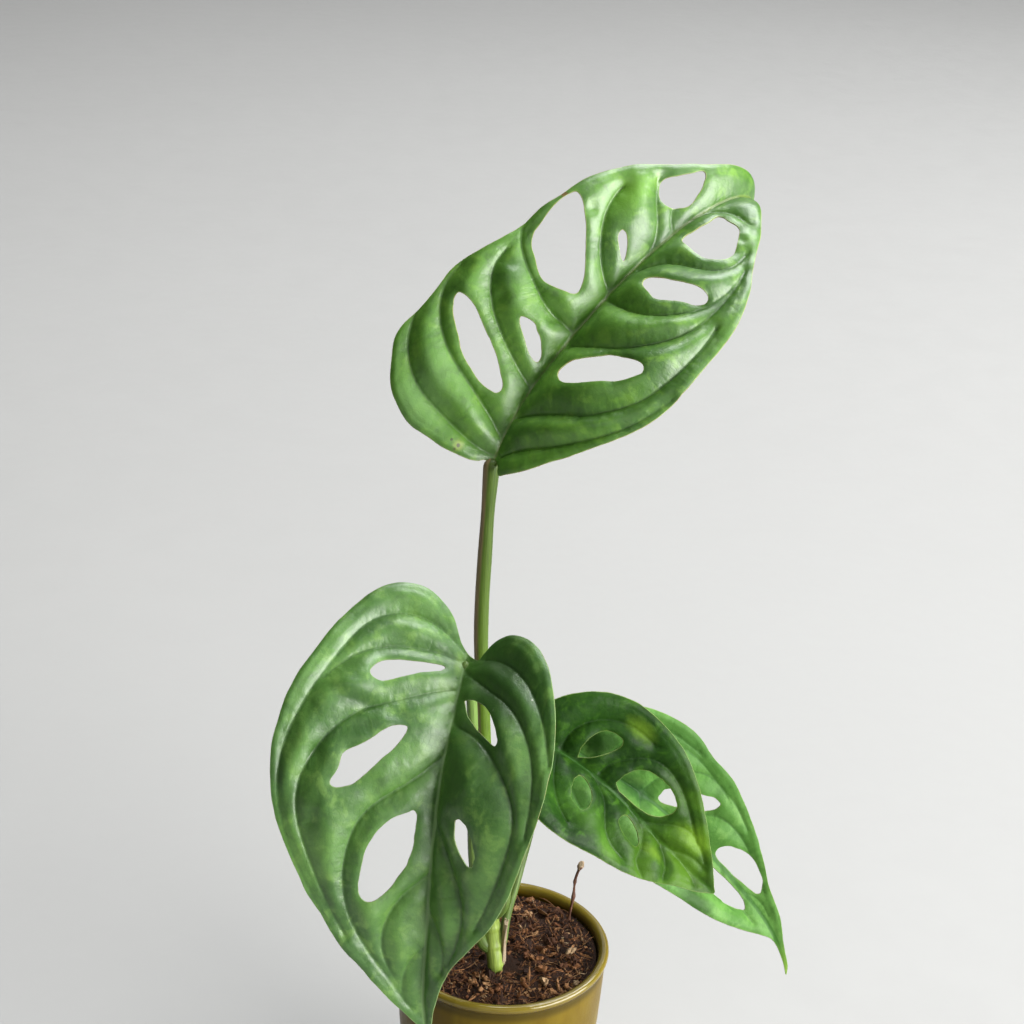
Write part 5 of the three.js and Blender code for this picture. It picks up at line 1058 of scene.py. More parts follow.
def leaf_top(name, dark, mid, blotch, line, rib_tone, edge_tone, thin, rough=0.40, mottling=0.7, glow=0.2, quilt=1.0, shine=0.75, vein=0.15,
             along=None, marks_and_painted_light=()):
    """Upper face of a leaf: mottled green, fine cross veins, darker vein lines that are partly the veins' own green and
    partly painted crease shade, painted light and shade along the furrows, a lighter midrib, a cream margin, and soft
    patches, some the leaf's own marks, others painted shade and painted light.
    """
    m = Nodes(name)
    flat = m.attr("flat", True)
    vd, md, ed, furrow = m.attr("vd"), m.attr("md"), m.attr("ed"), m.attr("furrow")
    low = m.noise(flat, 0.055, 3.0, 0.5)
    mids = m.noise(flat, 0.21, 4.0, 0.6, 0.4)
    fine = m.noise(flat, 0.9, 4.0, 0.65)
    col = m.mix(m.ramp(low, 0.36, 0.64), dark, mid)
    col = m.mix(m.math("MULTIPLY", m.ramp(mids, 0.50, 0.70), mottling), col, blotch)
    col = m.mix(m.math("MULTIPLY", m.ramp(mids, 0.48, 0.30), 0.55), col, tuple(0.62 * c for c in dark))
    # fine veins that cross from one side vein to the next
    cross = m.math("MULTIPLY", m.ramp(furrow, 0.42, 0.28), m.ramp(fine, 0.36, 0.58))
    cell = m.node("TexVoronoi", {"Vector": flat, "Scale": 0.62, "Randomness": 1.0}, feature="DISTANCE_TO_EDGE").outputs["Distance"]
    net = m.ramp(cell, 0.0, 0.16, 1.0, 0.0)
    mesh_lines = m.math("MAXIMUM", m.math("MULTIPLY", cross, 0.9), m.math("MULTIPLY", net, 0.35))
    col = m.mix(m.math("MULTIPLY", mesh_lines, 0.26), col, line)
    # lighter where the furrows rise and darker in their troughs: painted light and painted shade following the relief
    col = m.mix(m.math("MULTIPLY", m.ramp(furrow, 0.50, 0.75), 0.14), col, blotch)
    col = m.mix(m.math("MULTIPLY", m.ramp(furrow, 0.46, 0.25), 0.14), col, dark)
    col = m.mix(m.math("MULTIPLY", m.ramp(fine, 0.35, 0.75), 0.16), col, blotch)
    # darker lines along the veins: partly the veins' own darker green, partly painted shade in their creases
    col = m.mix(m.math("MULTIPLY", m.ramp(vd, 0.10, 0.45, 1.0, 0.0), vein), col, line)
    col = m.mix(m.ramp(md, 0.45, 1.05, 0.85, 0.0), col, rib_tone)
    worn = m.math("MULTIPLY", m.ramp(ed, 0.04, 0.22, 0.7, 0.0), m.ramp(m.noise(flat, 0.5, 2.0), 0.30, 0.62, 0.3, 1.0))
    col = m.mix(worn, col, edge_tone)
    if along is not None:                        # the tone changes from the stalk's end to the tip
        tone, a, b, much = along
        patch = m.math("MULTIPLY", m.ramp(m.attr("su"), a, b), m.ramp(m.noise(flat, 0.085, 2.0, 0.5), 0.40, 0.56, 1.0 - much, 1.0))
        col = m.mix(m.math("MULTIPLY", patch, 0.8), col, tone)
    # marks: soft patches of colour; some are the leaf's own scars, halos and dried spots, others are painted shade and
    # painted light
    for s0, t0, rs, rt, tone, much, soft in marks_and_painted_light:
        n = m.node("VectorMath", operation="DISTANCE")
        m.put(n.inputs[0], m.shifted(m.scaled(m.shifted(flat, (-s0, -t0, 0.0)), (1 / rs, 1 / rt, 0.0)), m.scaled(wobble(m, flat), (0.5, 0.5, 0.0))))
        m.put(n.inputs[1], (0.25, 0.25, 0.0))
        col = m.mix(m.math("MULTIPLY", m.ramp(n.outputs["Value"], 1.0, 1.0 - soft), much), col, tone)
    height = m.math("ADD", m.math("MULTIPLY", fine, 0.30), m.math("MULTIPLY", mesh_lines, -0.22 * quilt))
    height = m.math("ADD", height, m.math("MULTIPLY", furrow, 0.45))
    nrm = m.bump(height, 0.6, 0.00028)
    r = m.math("ADD", m.math("MULTIPLY", m.noise(flat, 0.35, 3.0), 0.14), rough - 0.07)
    r = m.math("ADD", r, m.math("MULTIPLY", mesh_lines, 0.05))
    p = m.node("BsdfPrincipled", {"Base Color": col, "Roughness": r, "Normal": nrm, "Specular IOR Level": shine})
    tint = m.mix(m.math("MULTIPLY", m.ramp(vd, 0.2, 0.9, 1.0, 0.0), 0.6), thin, tuple(0.45 * c for c in thin))
    t = m.node("BsdfTranslucent", {"Color": tint, "Normal": nrm})
    mix = m.node("MixShader", {0: glow, 1: p.outputs[0], 2: t.outputs[0]})
    return m.surface(mix.outputs[0])


def leaf_under(name, base, line, thin, glow=0.2):
    """Underside: paler, dull, with its veins standing up."""
    m = Nodes(name)
    flat = m.attr("flat", True)
    vd, md, ed = m.attr("vd"), m.attr("md"), m.attr("ed")
    col = m.mix(m.ramp(m.noise(flat, 0.14, 4.0, 0.6), 0.35, 0.65), tuple(0.75 * c for c in base), base)
    cell = m.node("TexVoronoi", {"Vector": flat, "Scale": 0.62, "Randomness": 1.0}, feature="DISTANCE_TO_EDGE").outputs["Distance"]
    net = m.ramp(cell, 0.0, 0.15, 1.0, 0.0)
    col = m.mix(m.math("MULTIPLY", net, 0.35), col, line)
    col = m.mix(m.ramp(vd, 0.25, 0.7, 0.8, 0.0), col, line)
    col = m.mix(m.ramp(md, 0.8, 1.8, 0.9, 0.0), col, line)
    col = m.mix(m.ramp(ed, 0.1, 0.4, 0.6, 0.0), col, (0.24, 0.32, 0.12))
    height = m.math("ADD", m.math("MULTIPLY", net, 0.6), m.math("MULTIPLY", m.noise(flat, 1.6, 4.0), 0.4))
    nrm = m.bump(height, 0.5, 0.00025)
    p = m.node("BsdfPrincipled", {"Base Color": col, "Roughness": m.ramp(m.noise(flat, 0.4), 0.3, 0.7, 0.52, 0.66), "Normal": nrm,
                                  "Specular IOR Level": 0.4})
    t = m.node("BsdfTranslucent", {"Color": thin, "Normal": nrm})
    return m.surface(m.node("MixShader", {0: glow, 1: p.outputs[0], 2: t.outputs[0]}).outputs[0])


def leaf_rim(name, pale, dry):
    m = Nodes(name)
    flat = m.attr("flat", True)
    f = m.ramp(m.noise(flat, 0.35, 3.0), 0.42, 0.66)
    col = m.mix(f, pale, dry)
    p = m.node("BsdfPrincipled", {"Base Color": col, "Roughness": m.ramp(m.noise(flat, 1.3), 0.3, 0.7, 0.4, 0.55)})
    t = m.node("BsdfTranslucent", {"Color": pale})
    return m.surface(m.node("MixShader", {0: 0.25, 1: p.outputs[0], 2: t.outputs[0]}).outputs[0])


def stalk_skin(name, low, high, lit, stripe, rough=0.36, streak=0.5, ends=None, painted_far_side_tint=None, shine=0.3):
    """Skin of a petiole or stem: long fine streaks, a colour that changes from foot to top, and, where asked, a painted
    reddish reflection and shade on the side away from the light.
    """
    m = Nodes(name)
    rnd, along, share = m.attr("round", True), m.attr("along"), m.attr("share")
    comb = m.node("CombineXYZ", {"X": 0.0, "Y": 0.0, "Z": m.math("MULTIPLY", along, 0.045)})
    vec = m.shifted(m.scaled(rnd, (2.3, 2.3, 2.3)), comb.outputs[0])
    s1 = m.noise(vec, 2.2, 4.0, 0.6)
    speck = m.noise(m.shifted(m.scaled(rnd, (1.6, 1.6, 1.6)), m.node("CombineXYZ", {"Z": m.math("MULTIPLY", along, 0.55)}).outputs[0]), 1.5, 5.0, 0.7)
    col = m.mix(m.ramp(share, 0.0, 1.0), low, high)
    col = m.mix(m.math("MULTIPLY", m.ramp(s1, 0.42, 0.62), streak), col, lit)
    col = m.mix(m.math("MULTIPLY", m.ramp(s1, 0.46, 0.30), 0.6), col, stripe)
    col = m.mix(m.math("MULTIPLY", m.ramp(speck, 0.60, 0.74), 0.35), col, stripe)
    if ends is not None:
        col = m.mix(m.ramp(share, ends[0], ends[1]), col, ends[2])
    if painted_far_side_tint is not None:                        # painted reddish reflection and shade on the side away from the light
        side = m.node("SeparateXYZ", {0: rnd}).outputs[1]
        col = m.mix(m.math("MULTIPLY", m.ramp(side, -0.20, -0.70), m.ramp(s1, 0.30, 0.60, 0.55, 0.95)), col, painted_far_side_tint)
    nrm = m.bump(m.math("ADD", s1, m.math("MULTIPLY", speck, 0.3)), 0.5, 0.00022)
    p = m.node("BsdfPrincipled", {"Base Color": col, "Roughness": m.ramp(speck, 0.3, 0.7, rough - 0.04, rough + 0.10), "Normal": nrm,
                                  "Specular IOR Level": shine})
    return m.surface(p.outputs[0])


def glaze(name, rough, gloss):
    """Mustard glaze: painted shade in the cove under the lip, darker where it pools at the foot, thinner and brighter
    on the lip's bead.
    """
    m = Nodes(name)
    mm = m.mm()
    z = m.node("SeparateXYZ", {0: mm}).outputs[2]
    cloud = m.noise(mm, 0.055, 4.0, 0.55)
    fleck = m.noise(mm, 1.4, 4.0, 0.6)
    runs = m.noise(m.scaled(mm, (1.0, 1.0, 0.16)), 0.16, 3.0, 0.5, 0.6)
    col = m.mix(m.ramp(cloud, 0.35, 0.65), (0.105, 0.068, 0.004), (0.135, 0.090, 0.006))
    col = m.mix(m.math("MULTIPLY", m.ramp(runs, 0.45, 0.68), 0.45), col, (0.150, 0.108, 0.010))
    col = m.mix(m.math("MULTIPLY", m.ramp(fleck, 0.62, 0.72), 0.4), col, (0.085, 0.055, 0.008))
    # painted shade in the cove under the lip's bead
    cove_shade = m.math("MULTIPLY", m.ramp(z, 59.6, 62.2), m.ramp(z, 65.0, 64.2))
    col = m.mix(m.math("MULTIPLY", cove_shade, 0.85), col, (0.052, 0.036, 0.004))
    col = m.mix(m.math("MULTIPLY", m.ramp(z, 7.0, 1.0), 0.45), col, (0.11, 0.075, 0.010))
    bead = m.ramp(z, 64.7, 66.4)
    col = m.mix(m.math("MULTIPLY", bead, 0.45), col, (0.185, 0.150, 0.022))
    craze = m.node("TexVoronoi", {"Vector": mm, "Scale": 0.16}, feature="DISTANCE_TO_EDGE").outputs["Distance"]
    col = m.mix(m.ramp(craze, 0.0, 0.012, 0.10, 0.0), col, (0.10, 0.07, 0.01))
    height = m.math("ADD", m.math("MULTIPLY", runs, 1.0), m.math("MULTIPLY", fleck, 0.08))
    nrm = m.bump(height, 0.35, 0.0006)
    p = m.node("BsdfPrincipled", {"Base Color": col, "Roughness": m.ramp(fleck, 0.35, 0.7, rough, rough + 0.07), "Normal": nrm,
                                  "Specular IOR Level": gloss})
    return m.surface(p.outputs[0])


def bare_clay(name):
    m = Nodes(name)
    mm = m.mm()
    g = m.noise(mm, 1.8, 5.0, 0.65)
    col = m.mix(m.ramp(g, 0.35, 0.68), (0.36, 0.25, 0.15), (0.52, 0.40, 0.27))
    col = m.mix(m.ramp(m.noise(mm, 0.25, 3.0), 0.55, 0.75, 0.0, 0.5), col, (0.26, 0.17, 0.10))
    p = m.node("BsdfPrincipled", {"Base Color": col, "Roughness": m.ramp(g, 0.3, 0.7, 0.75, 0.92), "Normal": m.bump(g, 0.6, 0.0003)})
    return m.surface(p.outputs[0])


def mix_skin(name, a, b, c, scale=0.55):
    """Damp peat and coir: dark, fibrous, with redder bits, near black with painted shade in the hollow by the stem."""
    m = Nodes(name)
    mm = m.mm()
    tone = m.attr("tone")
    n1 = m.noise(mm, scale, 5.0, 0.65)
    n2 = m.noise(m.scaled(mm, (1.0, 0.25, 0.6)), scale * 4.2, 4.0, 0.7, 0.8)
    n3 = m.noise(mm, scale * 9.0, 3.0, 0.7)
    col = m.mix(m.ramp(m.math("ADD", m.math("MULTIPLY", n1, 0.6), m.math("MULTIPLY", tone, 0.5)), 0.25, 0.75), a, b)
    col = m.mix(m.math("MULTIPLY", m.ramp(n2, 0.55, 0.72), 0.7), col, c)
    col = m.mix(m.math("MULTIPLY", m.ramp(n3, 0.50, 0.30), 0.55), col, tuple(0.3 * x for x in a))
    # painted shade: near black in the hollow by the stem
    col = m.mix(m.ramp(tone, -0.06, -0.45, 0.0, 0.9), col, (0.010, 0.005, 0.003))
    h = m.math("ADD", n2, m.math("MULTIPLY", n3, 0.5))
    p = m.node("BsdfPrincipled", {"Base Color": col, "Roughness": m.ramp(n3, 0.3, 0.7, 0.70, 0.95), "Normal": m.bump(h, 0.8, 0.0004),
                                  "Specular IOR Level": 0.2})
    return m.surface(p.outputs[0])


def crumb_skin(name):
    """Crumbs vary from near black through red-brown to straw, by the piece."""
    m = Nodes(name)
    mm = m.mm()
    tone = m.attr("tone")
    ramp = m.node("ValToRGB", {"Fac": tone})
    r = ramp.color_ramp
    r.interpolation = "LINEAR"
    stops = [(0.0, (0.012, 0.006, 0.004)), (0.25, (0.055, 0.022, 0.010)), (0.50, (0.165, 0.064, 0.024)), (0.78, (0.300, 0.135, 0.052)),
             (0.94, (0.36, 0.20, 0.09)), (1.0, (0.54, 0.40, 0.24))]
    r.elements[0].position, r.elements[0].color = stops[0][0], (*stops[0][1], 1)
    r.elements[1].position, r.elements[1].color = stops[-1][0], (*stops[-1][1], 1)
    for pos, c in stops[1:-1]:
        e = r.elements.new(pos)
        e.color = (*c, 1)
    n = m.noise(m.scaled(mm, (1.0, 0.3, 1.0)), 2.6, 5.0, 0.7)
    col = m.mix(m.ramp(n, 0.32, 0.68, 0.0, 0.55), ramp.outputs[0], (0.018, 0.008, 0.005))
    p = m.node("BsdfPrincipled", {"Base Color": col, "Roughness": m.ramp(n, 0.3, 0.7, 0.62, 0.92), "Normal": m.bump(n, 0.7, 0.0003),
                                  "Specular IOR Level": 0.22})
    return m.surface(p.outputs[0])


def paper_skin(name):
    """Dried leaf sheath: papery, streaked, see-through where thin."""
    m = Nodes(name)
    rnd = m.attr("round", True)
    s = m.noise(m.scaled(rnd, (5.0, 5.0, 0.35)), 1.3, 4.0, 0.65)
    q = m.noise(m.scaled(rnd, (1.0, 1.0, 0.5)), 0.6, 4.0, 0.6)
    col = m.mix(m.ramp(s, 0.36, 0.64), (0.24, 0.170, 0.095), (0.52, 0.44, 0.31))
    col = m.mix(m.ramp(q, 0.52, 0.72, 0.0, 0.6), col, (0.13, 0.070, 0.030))
    p = m.node("BsdfPrincipled", {"Base Color": col, "Roughness": m.ramp(q, 0.3, 0.7, 0.5, 0.7), "Normal": m.bump(s, 0.6, 0.0002)})
    t = m.node("BsdfTranslucent", {"Color": (0.42, 0.27, 0.12)})
    return m.surface(m.node("MixShader", {0: 0.25, 1: p.outputs[0], 2: t.outputs[0]}).outputs[0])


def root_skin(name, a, b, rough=0.7):
    m = Nodes(name)
    mm = m.mm()
    g = m.noise(m.scaled(mm, (1, 1, 0.5)), 1.1, 5.0, 0.65)
    col = m.mix(m.ramp(g, 0.35, 0.66), a, b)
    p = m.node("BsdfPrincipled", {"Base Color": col, "Roughness": m.ramp(g, 0.3, 0.7, rough - 0.08, rough + 0.1), "Normal": m.bump(g, 0.6, 0.0003)})
    return m.surface(p.outputs[0])


def floor_skin():
    m = Nodes("studio_floor")
    P = m.node("TexCoord").outputs["Object"]
    n = m.noise(P, 3.0, 4.0, 0.5)
    col = m.mix(n, (0.320, 0.317, 0.310), (0.335, 0.332, 0.325))
    p = m.node("BsdfPrincipled", {"Base Color": col, "Roughness": m.ramp(m.noise(P, 40.0), 0.3, 0.7, 0.55, 0.65)})
    return m.surface(p.outputs[0])

# ---------------------------------------------------------------- the plant

RIM = leaf_rim("leaf_margin", (0.30, 0.38, 0.12), (0.26, 0.20, 0.07))

RIM_B = leaf_rim("leaf_margin_green", (0.20, 0.31, 0.11), (0.18, 0.19, 0.06))

RIM_C = leaf_rim("leaf_margin_front", (0.22, 0.31, 0.09), (0.16, 0.20, 0.05))

DRIED, HALO, SCAR = (0.20, 0.105, 0.035), (0.30, 0.38, 0.06), (0.030, 0.022, 0.010)

# among this face's marks, the first is painted light on the lower lobe and the second painted shade in a hollow; the
# scars, halo and dried spot are the leaf's own
TOP_A = leaf_top("leaf_top_upper", dark=(0.042, 0.132, 0.011), mid=(0.086, 0.226, 0.020), blotch=(0.155, 0.325, 0.034),
                 line=(0.010, 0.045, 0.006), rib_tone=(0.130, 0.210, 0.035), edge_tone=(0.34, 0.42, 0.13), thin=(0.17, 0.38, 0.03), shine=0.9, rough=0.42,
                 marks_and_painted_light=[(8.0, -27.0, 17.0, 13.0, (0.145, 0.300, 0.080), 0.6, 0.95), (49.0, -26.5, 9.0, 7.0, (0.030, 0.100, 0.008), 0.75, 0.9), (88.0, -18.0, 11.0, 7.0, (0.140, 0.340, 0.018), 0.65, 0.9),
                        (1.1, -11.8, 2.6, 2.3, HALO, 0.7, 0.9), (1.1, -11.8, 0.8, 0.7, SCAR, 0.9, 0.5), (1.9, -14.3, 0.6, 0.5, SCAR, 0.9, 0.5),
                        (-0.3, -12.4, 0.5, 0.5, SCAR, 0.8, 0.5), (73.5, -30.4, 1.0, 3.6, DRIED, 0.9, 0.5)])
# on this face the two large dark marks by the midrib are painted shade on the half turned from the light, and the four
# small dark marks are painted shade in folds near the holes
TOP_B = leaf_top("leaf_top_left", dark=(0.042, 0.132, 0.017), mid=(0.086, 0.218, 0.032), blotch=(0.165, 0.325, 0.058),
                 line=(0.008, 0.038, 0.006), rib_tone=(0.170, 0.320, 0.085), edge_tone=(0.22, 0.33, 0.11), thin=(0.15, 0.34, 0.03),
                 rough=0.43, shine=0.95,
                 marks_and_painted_light=[(14.2, -26.9, 0.35, 0.35, (0.62, 0.66, 0.50), 0.9, 0.5), (17.3, -15.3, 0.3, 0.3, (0.62, 0.66, 0.50), 0.9, 0.5),
                        (3.0, 2.0, 6.0, 2.2, (0.20, 0.38, 0.05), 0.7, 0.9),
                        (12.0, -15.0, 27.0, 20.0, (0.018, 0.064, 0.007), 0.85, 0.95), (38.0, -6.5, 18.0, 7.0, (0.016, 0.058, 0.007), 0.75, 0.9),
                        (21.6, 29.5, 2.8, 9.5, (0.022, 0.084, 0.006), 0.8, 0.95), (28.8, 26.0, 3.2, 6.0, (0.022, 0.084, 0.006), 0.8, 0.95), (24.8, 16.0, 2.6, 7.0, (0.020, 0.080, 0.006), 0.8, 0.95),
                        (38.0, 38.5, 4.5, 3.2, (0.030, 0.105, 0.010), 0.5, 0.95)])
# This leaf's very dark greens are partly its own older green and partly painted shade; its yellow-green tone towards
# the tip and its five lighter marks are painted light shining through it and painted sheen, and its last, dark mark is
# painted shade.
TOP_C = leaf_top("leaf_top_front", dark=(0.006, 0.026, 0.002), mid=(0.013, 0.050, 0.004), blotch=(0.042, 0.120, 0.009),
                 line=(0.005, 0.024, 0.003), rib_tone=(0.022, 0.078, 0.008), edge_tone=(0.14, 0.22, 0.04), thin=(0.14, 0.32, 0.015), glow=0.17,
                 shine=0.14, rough=0.42, vein=0.24, along=((0.070, 0.160, 0.010), 0.40, 0.85, 0.7),
                 marks_and_painted_light=[(25.5, -21.2, 6.5, 4.2, (0.16, 0.29, 0.022), 0.6, 0.95), (63.0, -8.5, 10.5, 5.0, (0.16, 0.30, 0.016), 0.62, 0.95),
                        (54.0, 6.0, 5.5, 3.0, (0.15, 0.28, 0.018), 0.5, 0.95), (41.0, 18.0, 9.0, 4.5, (0.12, 0.25, 0.035), 0.5, 0.95), (30.0, 15.0, 22.0, 8.0, (0.055, 0.150, 0.012), 0.5, 0.95),
                        (46.0, -19.5, 7.0, 2.6, (0.006, 0.026, 0.003), 0.6, 0.9)])
# all marks on this face but the fourth are painted shadow cast by the front leaf
TOP_D = leaf_top("leaf_top_back", dark=(0.066, 0.180, 0.030), mid=(0.100, 0.240, 0.048), blotch=(0.138, 0.285, 0.062),
                 line=(0.026, 0.090, 0.014), rib_tone=(0.035, 0.115, 0.018), edge_tone=(0.22, 0.33, 0.10), thin=(0.20, 0.40, 0.05), glow=0.18,
                 shine=0.12, rough=0.42, vein=0.40, along=((0.22, 0.37, 0.05), 0.88, 1.0, 0.2),
                 marks_and_painted_light=[(71.0, 17.0, 13.0, 6.5, (0.022, 0.070, 0.008), 0.9, 0.8), (10.0, -6.0, 12.0, 9.0, (0.010, 0.036, 0.004), 0.92, 0.9),
                        (11.4, 14.2, 8.0, 7.0, (0.028, 0.082, 0.012), 0.75, 0.9), (34.0, 16.0, 7.0, 5.0, (0.130, 0.270, 0.050), 0.4, 0.95),
                        (31.0, 0.0, 12.0, 6.5, (0.022, 0.070, 0.018), 0.85, 0.9), (14.0, -9.5, 6.0, 4.0, (0.022, 0.066, 0.010), 0.8, 0.9), (36.0, -25.0, 16.0, 9.0, (0.050, 0.145, 0.028), 0.6, 0.9)])
UNDER = leaf_under("leaf_underside", (0.085, 0.180, 0.055), (0.160, 0.270, 0.090), (0.16, 0.34, 0.04))
UNDER_D = leaf_under("leaf_underside_young", (0.130, 0.250, 0.080), (0.210, 0.330, 0.120), (0.24, 0.46, 0.07))

A = LEAVES["leaf_upper"]
A["margin"] = [[s, t * (1 - 0.45 * float(ease(s, 121, 125) * (1 - ease(s, 138, 146)))) if t > 0 else t] for s, t in A["margin"]]


def dents(*items):
    """Small hollows and bumps pressed into a leaf: (s, t, radius along, radius across, height)."""
    def f(s, t):
        return sum(h * np.exp(-((s - a) / ra) ** 2 - ((t - b) / rb) ** 2) for a, b, ra, rb, h in items)
    return f


leaf("leaf_upper_blade", A, [TOP_A, UNDER, RIM], 0.72, 0.92, 4.6, 1.3, smooth=16, wave=0.30, steep=(0.50, 0.62), ridge=0.22, ribs=0.055, fur=0.55,
     extra=dents((50.0, -28.3, 2.0, 2.6, -0.8), (45.5, -8.0, 2.4, 2.4, -1.1), (76.2, -22.0, 1.8, 1.8, -1.0), 
                 (41.0, -24.0, 2.2, 2.0, -0.7), (101.0, 19.0, 1.3, 1.3, -0.8)))
leaf("leaf_left_blade", LEAVES["leaf_left"], [TOP_B, UNDER, RIM_B], 0.72, 0.76, 4.6, 5.9, smooth=16, wave=0.5, steep=(0.70, 0.38), ridge=0.06, ribs=0.05, fur=0.55,
     extra=dents((21.2, 29.5, 1.7, 6.0, -1.3), (17.6, 33.0, 1.6, 5.0, 0.4), (27.8, 25.0, 2.0, 4.5, -1.0), (23.4, 14.5, 1.7, 5.0, -0.9), (36.5, 38.0, 2.6, 2.2, -0.9),
                 (52.0, 36.5, 3.2, 2.2, -0.6), (46.0, 14.0, 2.4, 3.0, -0.5), (66.0, 12.0, 3.5, 2.2, -0.5), (60.0, -12.0, 3.0, 2.5, -0.5)))
leaf("leaf_right_front_blade", LEAVES["leaf_right_front"], [TOP_C, UNDER, RIM_C], 0.66, 0.78, 4.0, 8.2, smooth=14, ridge=0.16, ribs=0.045, fur=0.5)
leaf("leaf_right_back_blade", LEAVES["leaf_right_back"], [TOP_D, UNDER_D, RIM_B], 0.72, 0.60, 4.0, 12.4, smooth=18, ridge=0.06)

# stalks -----------------------------------------------------------

SKIN_A = stalk_skin("petiole_upper_skin", (0.100, 0.180, 0.010), (0.036, 0.066, 0.008), (0.070, 0.115, 0.014), (0.038, 0.050, 0.010), 0.42, painted_far_side_tint=(0.230, 0.160, 0.085), shine=0.2)
SKIN_B = stalk_skin("petiole_skin", (0.055, 0.095, 0.016), (0.115, 0.200, 0.040), (0.180, 0.270, 0.065), (0.060, 0.070, 0.020), 0.38)
# the stem's skin darkens from its foot to its top, partly painted shade under the leaves
STEM_SKIN = stalk_skin("stem_skin", (0.210, 0.300, 0.045), (0.120, 0.170, 0.030), (0.300, 0.400, 0.080), (0.090, 0.100, 0.028), 0.42, 0.6)

PETIOLES = {
    "petiole_upper": (2.2, [(-4.1, -7.95, 88.0), (-4.8, -8, 97.5), (-5.75, -8, 108.4), (-7.3, -8, 130.9), (-8.35, -7.6, 150.8), (-9.6, -7, 168.4),
                            (-10.4, -6.2, 183.7), (-10.55, -5.4, 197.1), (-10.25, -4.6, 210.3), (-9.8, -3.6, 226.5), (-9.24, -2.16, 240.2)]),
    "petiole_left": (1.75, [(-3.9, -9.0, 71.2), (-6.0, -9.4, 73.2), (-7.4, -9.75, 76.3), (-7.95, -10.4, 79.5), (-8.6, -12.3, 88), (-9.3, -13.5, 100.4), (-10.5, -14, 116), (-11.2, -14.2, 134.6),
                            (-11.8, -14.6, 156.6), (-12.8, -15.3, 171.1), (-14, -18, 179.2), (-14.5, -21.5, 182.4)]),
    "petiole_right_front": (1.55, [(-2.9, -8.4, 83.8), (-0.9, -9.1, 85.8), (0.35, -9.4, 88.6), (0.85, -9.1, 91.5), (1.7, -6.4, 104), (2.8, -1.2, 120), (4.4, 4.8, 133.5), (7.2, 8.2, 140.4), (9.8, 4.4, 143)]),
    "petiole_right_back": (1.5, [(-1.7, -8.6, 66.6), (-0.7, -6.4, 68.0), (0.25, -4.6, 70.2), (0.75, -3.2, 73.2), (1.5, -1, 79), (3.8, 3.2, 87.8), (6.6, 9.6, 98), (10, 18, 110), (13.6, 26.2, 120.8),
                                 (17.4, 29.6, 126), (19.5, 25.8, 128)]),
}


def grooved(depth, face):
    """A petiole's section: round, with a shallow groove along its upper side."""
    def f(u, q):
        d = math.cos(q - face)
        return 1 + 0.02 * math.cos(2 * (q - face)) - depth * max(0.0, d) ** 14
    return f


for node, (r, path) in PETIOLES.items():
    long = node == "petiole_upper"
    knee = 0.045 if long else 0.09

    def radius(u, r=r, knee=knee, long=long):
        wide = 1 + 0.13 * math.exp(-((1 - u) / knee) ** 2) - 0.05 * math.exp(-((1 - u - 2.2 * knee) / knee) ** 2)
        return r * wide * (1 + 0.02 * math.sin(17 * u + r) + 0.012 * math.sin(41 * u)) + (0.0 if long else 0.42 * math.exp(-(u / 0.07) ** 2))

    stalk(node + "_stalk", path, radius, [SKIN_A if long else SKIN_B], node, 28 if long else 22, 1.3,
          grooved(0.05, 2.4))

foot, top = np.array((-0.2, -7.4, 38.0)), np.array((-4.75, -8, 97.0))


def stem_radius(u):
    body = 2.75 * (0.94 + 0.06 * float(ease(u, 0.35, 0.55)))
    body -= 0.45 * math.exp(-((u - 0.43) / 0.06) ** 2)             # narrow where it leaves the mix
    ring = bumps(u, (0.47, 0.58, 0.70, 0.88), 0.30, 0.014) - bumps(u, (0.448, 0.558, 0.678, 0.858), 0.10, 0.014)
    body -= 0.50 * float(ease(u, 0.90, 1.0))                       # thins into the youngest stalk
    return body + ring + 0.05 * math.sin(31 * u)


def stem_centre(z):
    """Above the mix the stem leans toward the viewer as it comes out of the hollow."""
    k = (z - foot[2]) / (top[2] - foot[2])
    lean = math.exp(-((z - 65.0) / 6.5) ** 2)
    return (foot + (top - foot) * k + np.array((0.5 * lean + 0.3 * math.sin(5.1 * k), -3.0 * lean + 0.2 * math.sin(7.3 * k + 1), 0.0)) * (1 if 40 < z < 96 else 0))


axis = [tuple(stem_centre(z)) for z in np.linspace(foot[2], top[2], 17)]
stalk("stem_body", axis, stem_radius, [STEM_SKIN], "stem", 40, 0.55,
      lambda u, q: 1 + 0.022 * math.cos(2 * q + 3 * u) + 0.012 * math.cos(5 * q + 9 * u))


# dried sheath -----------------------------------------------------

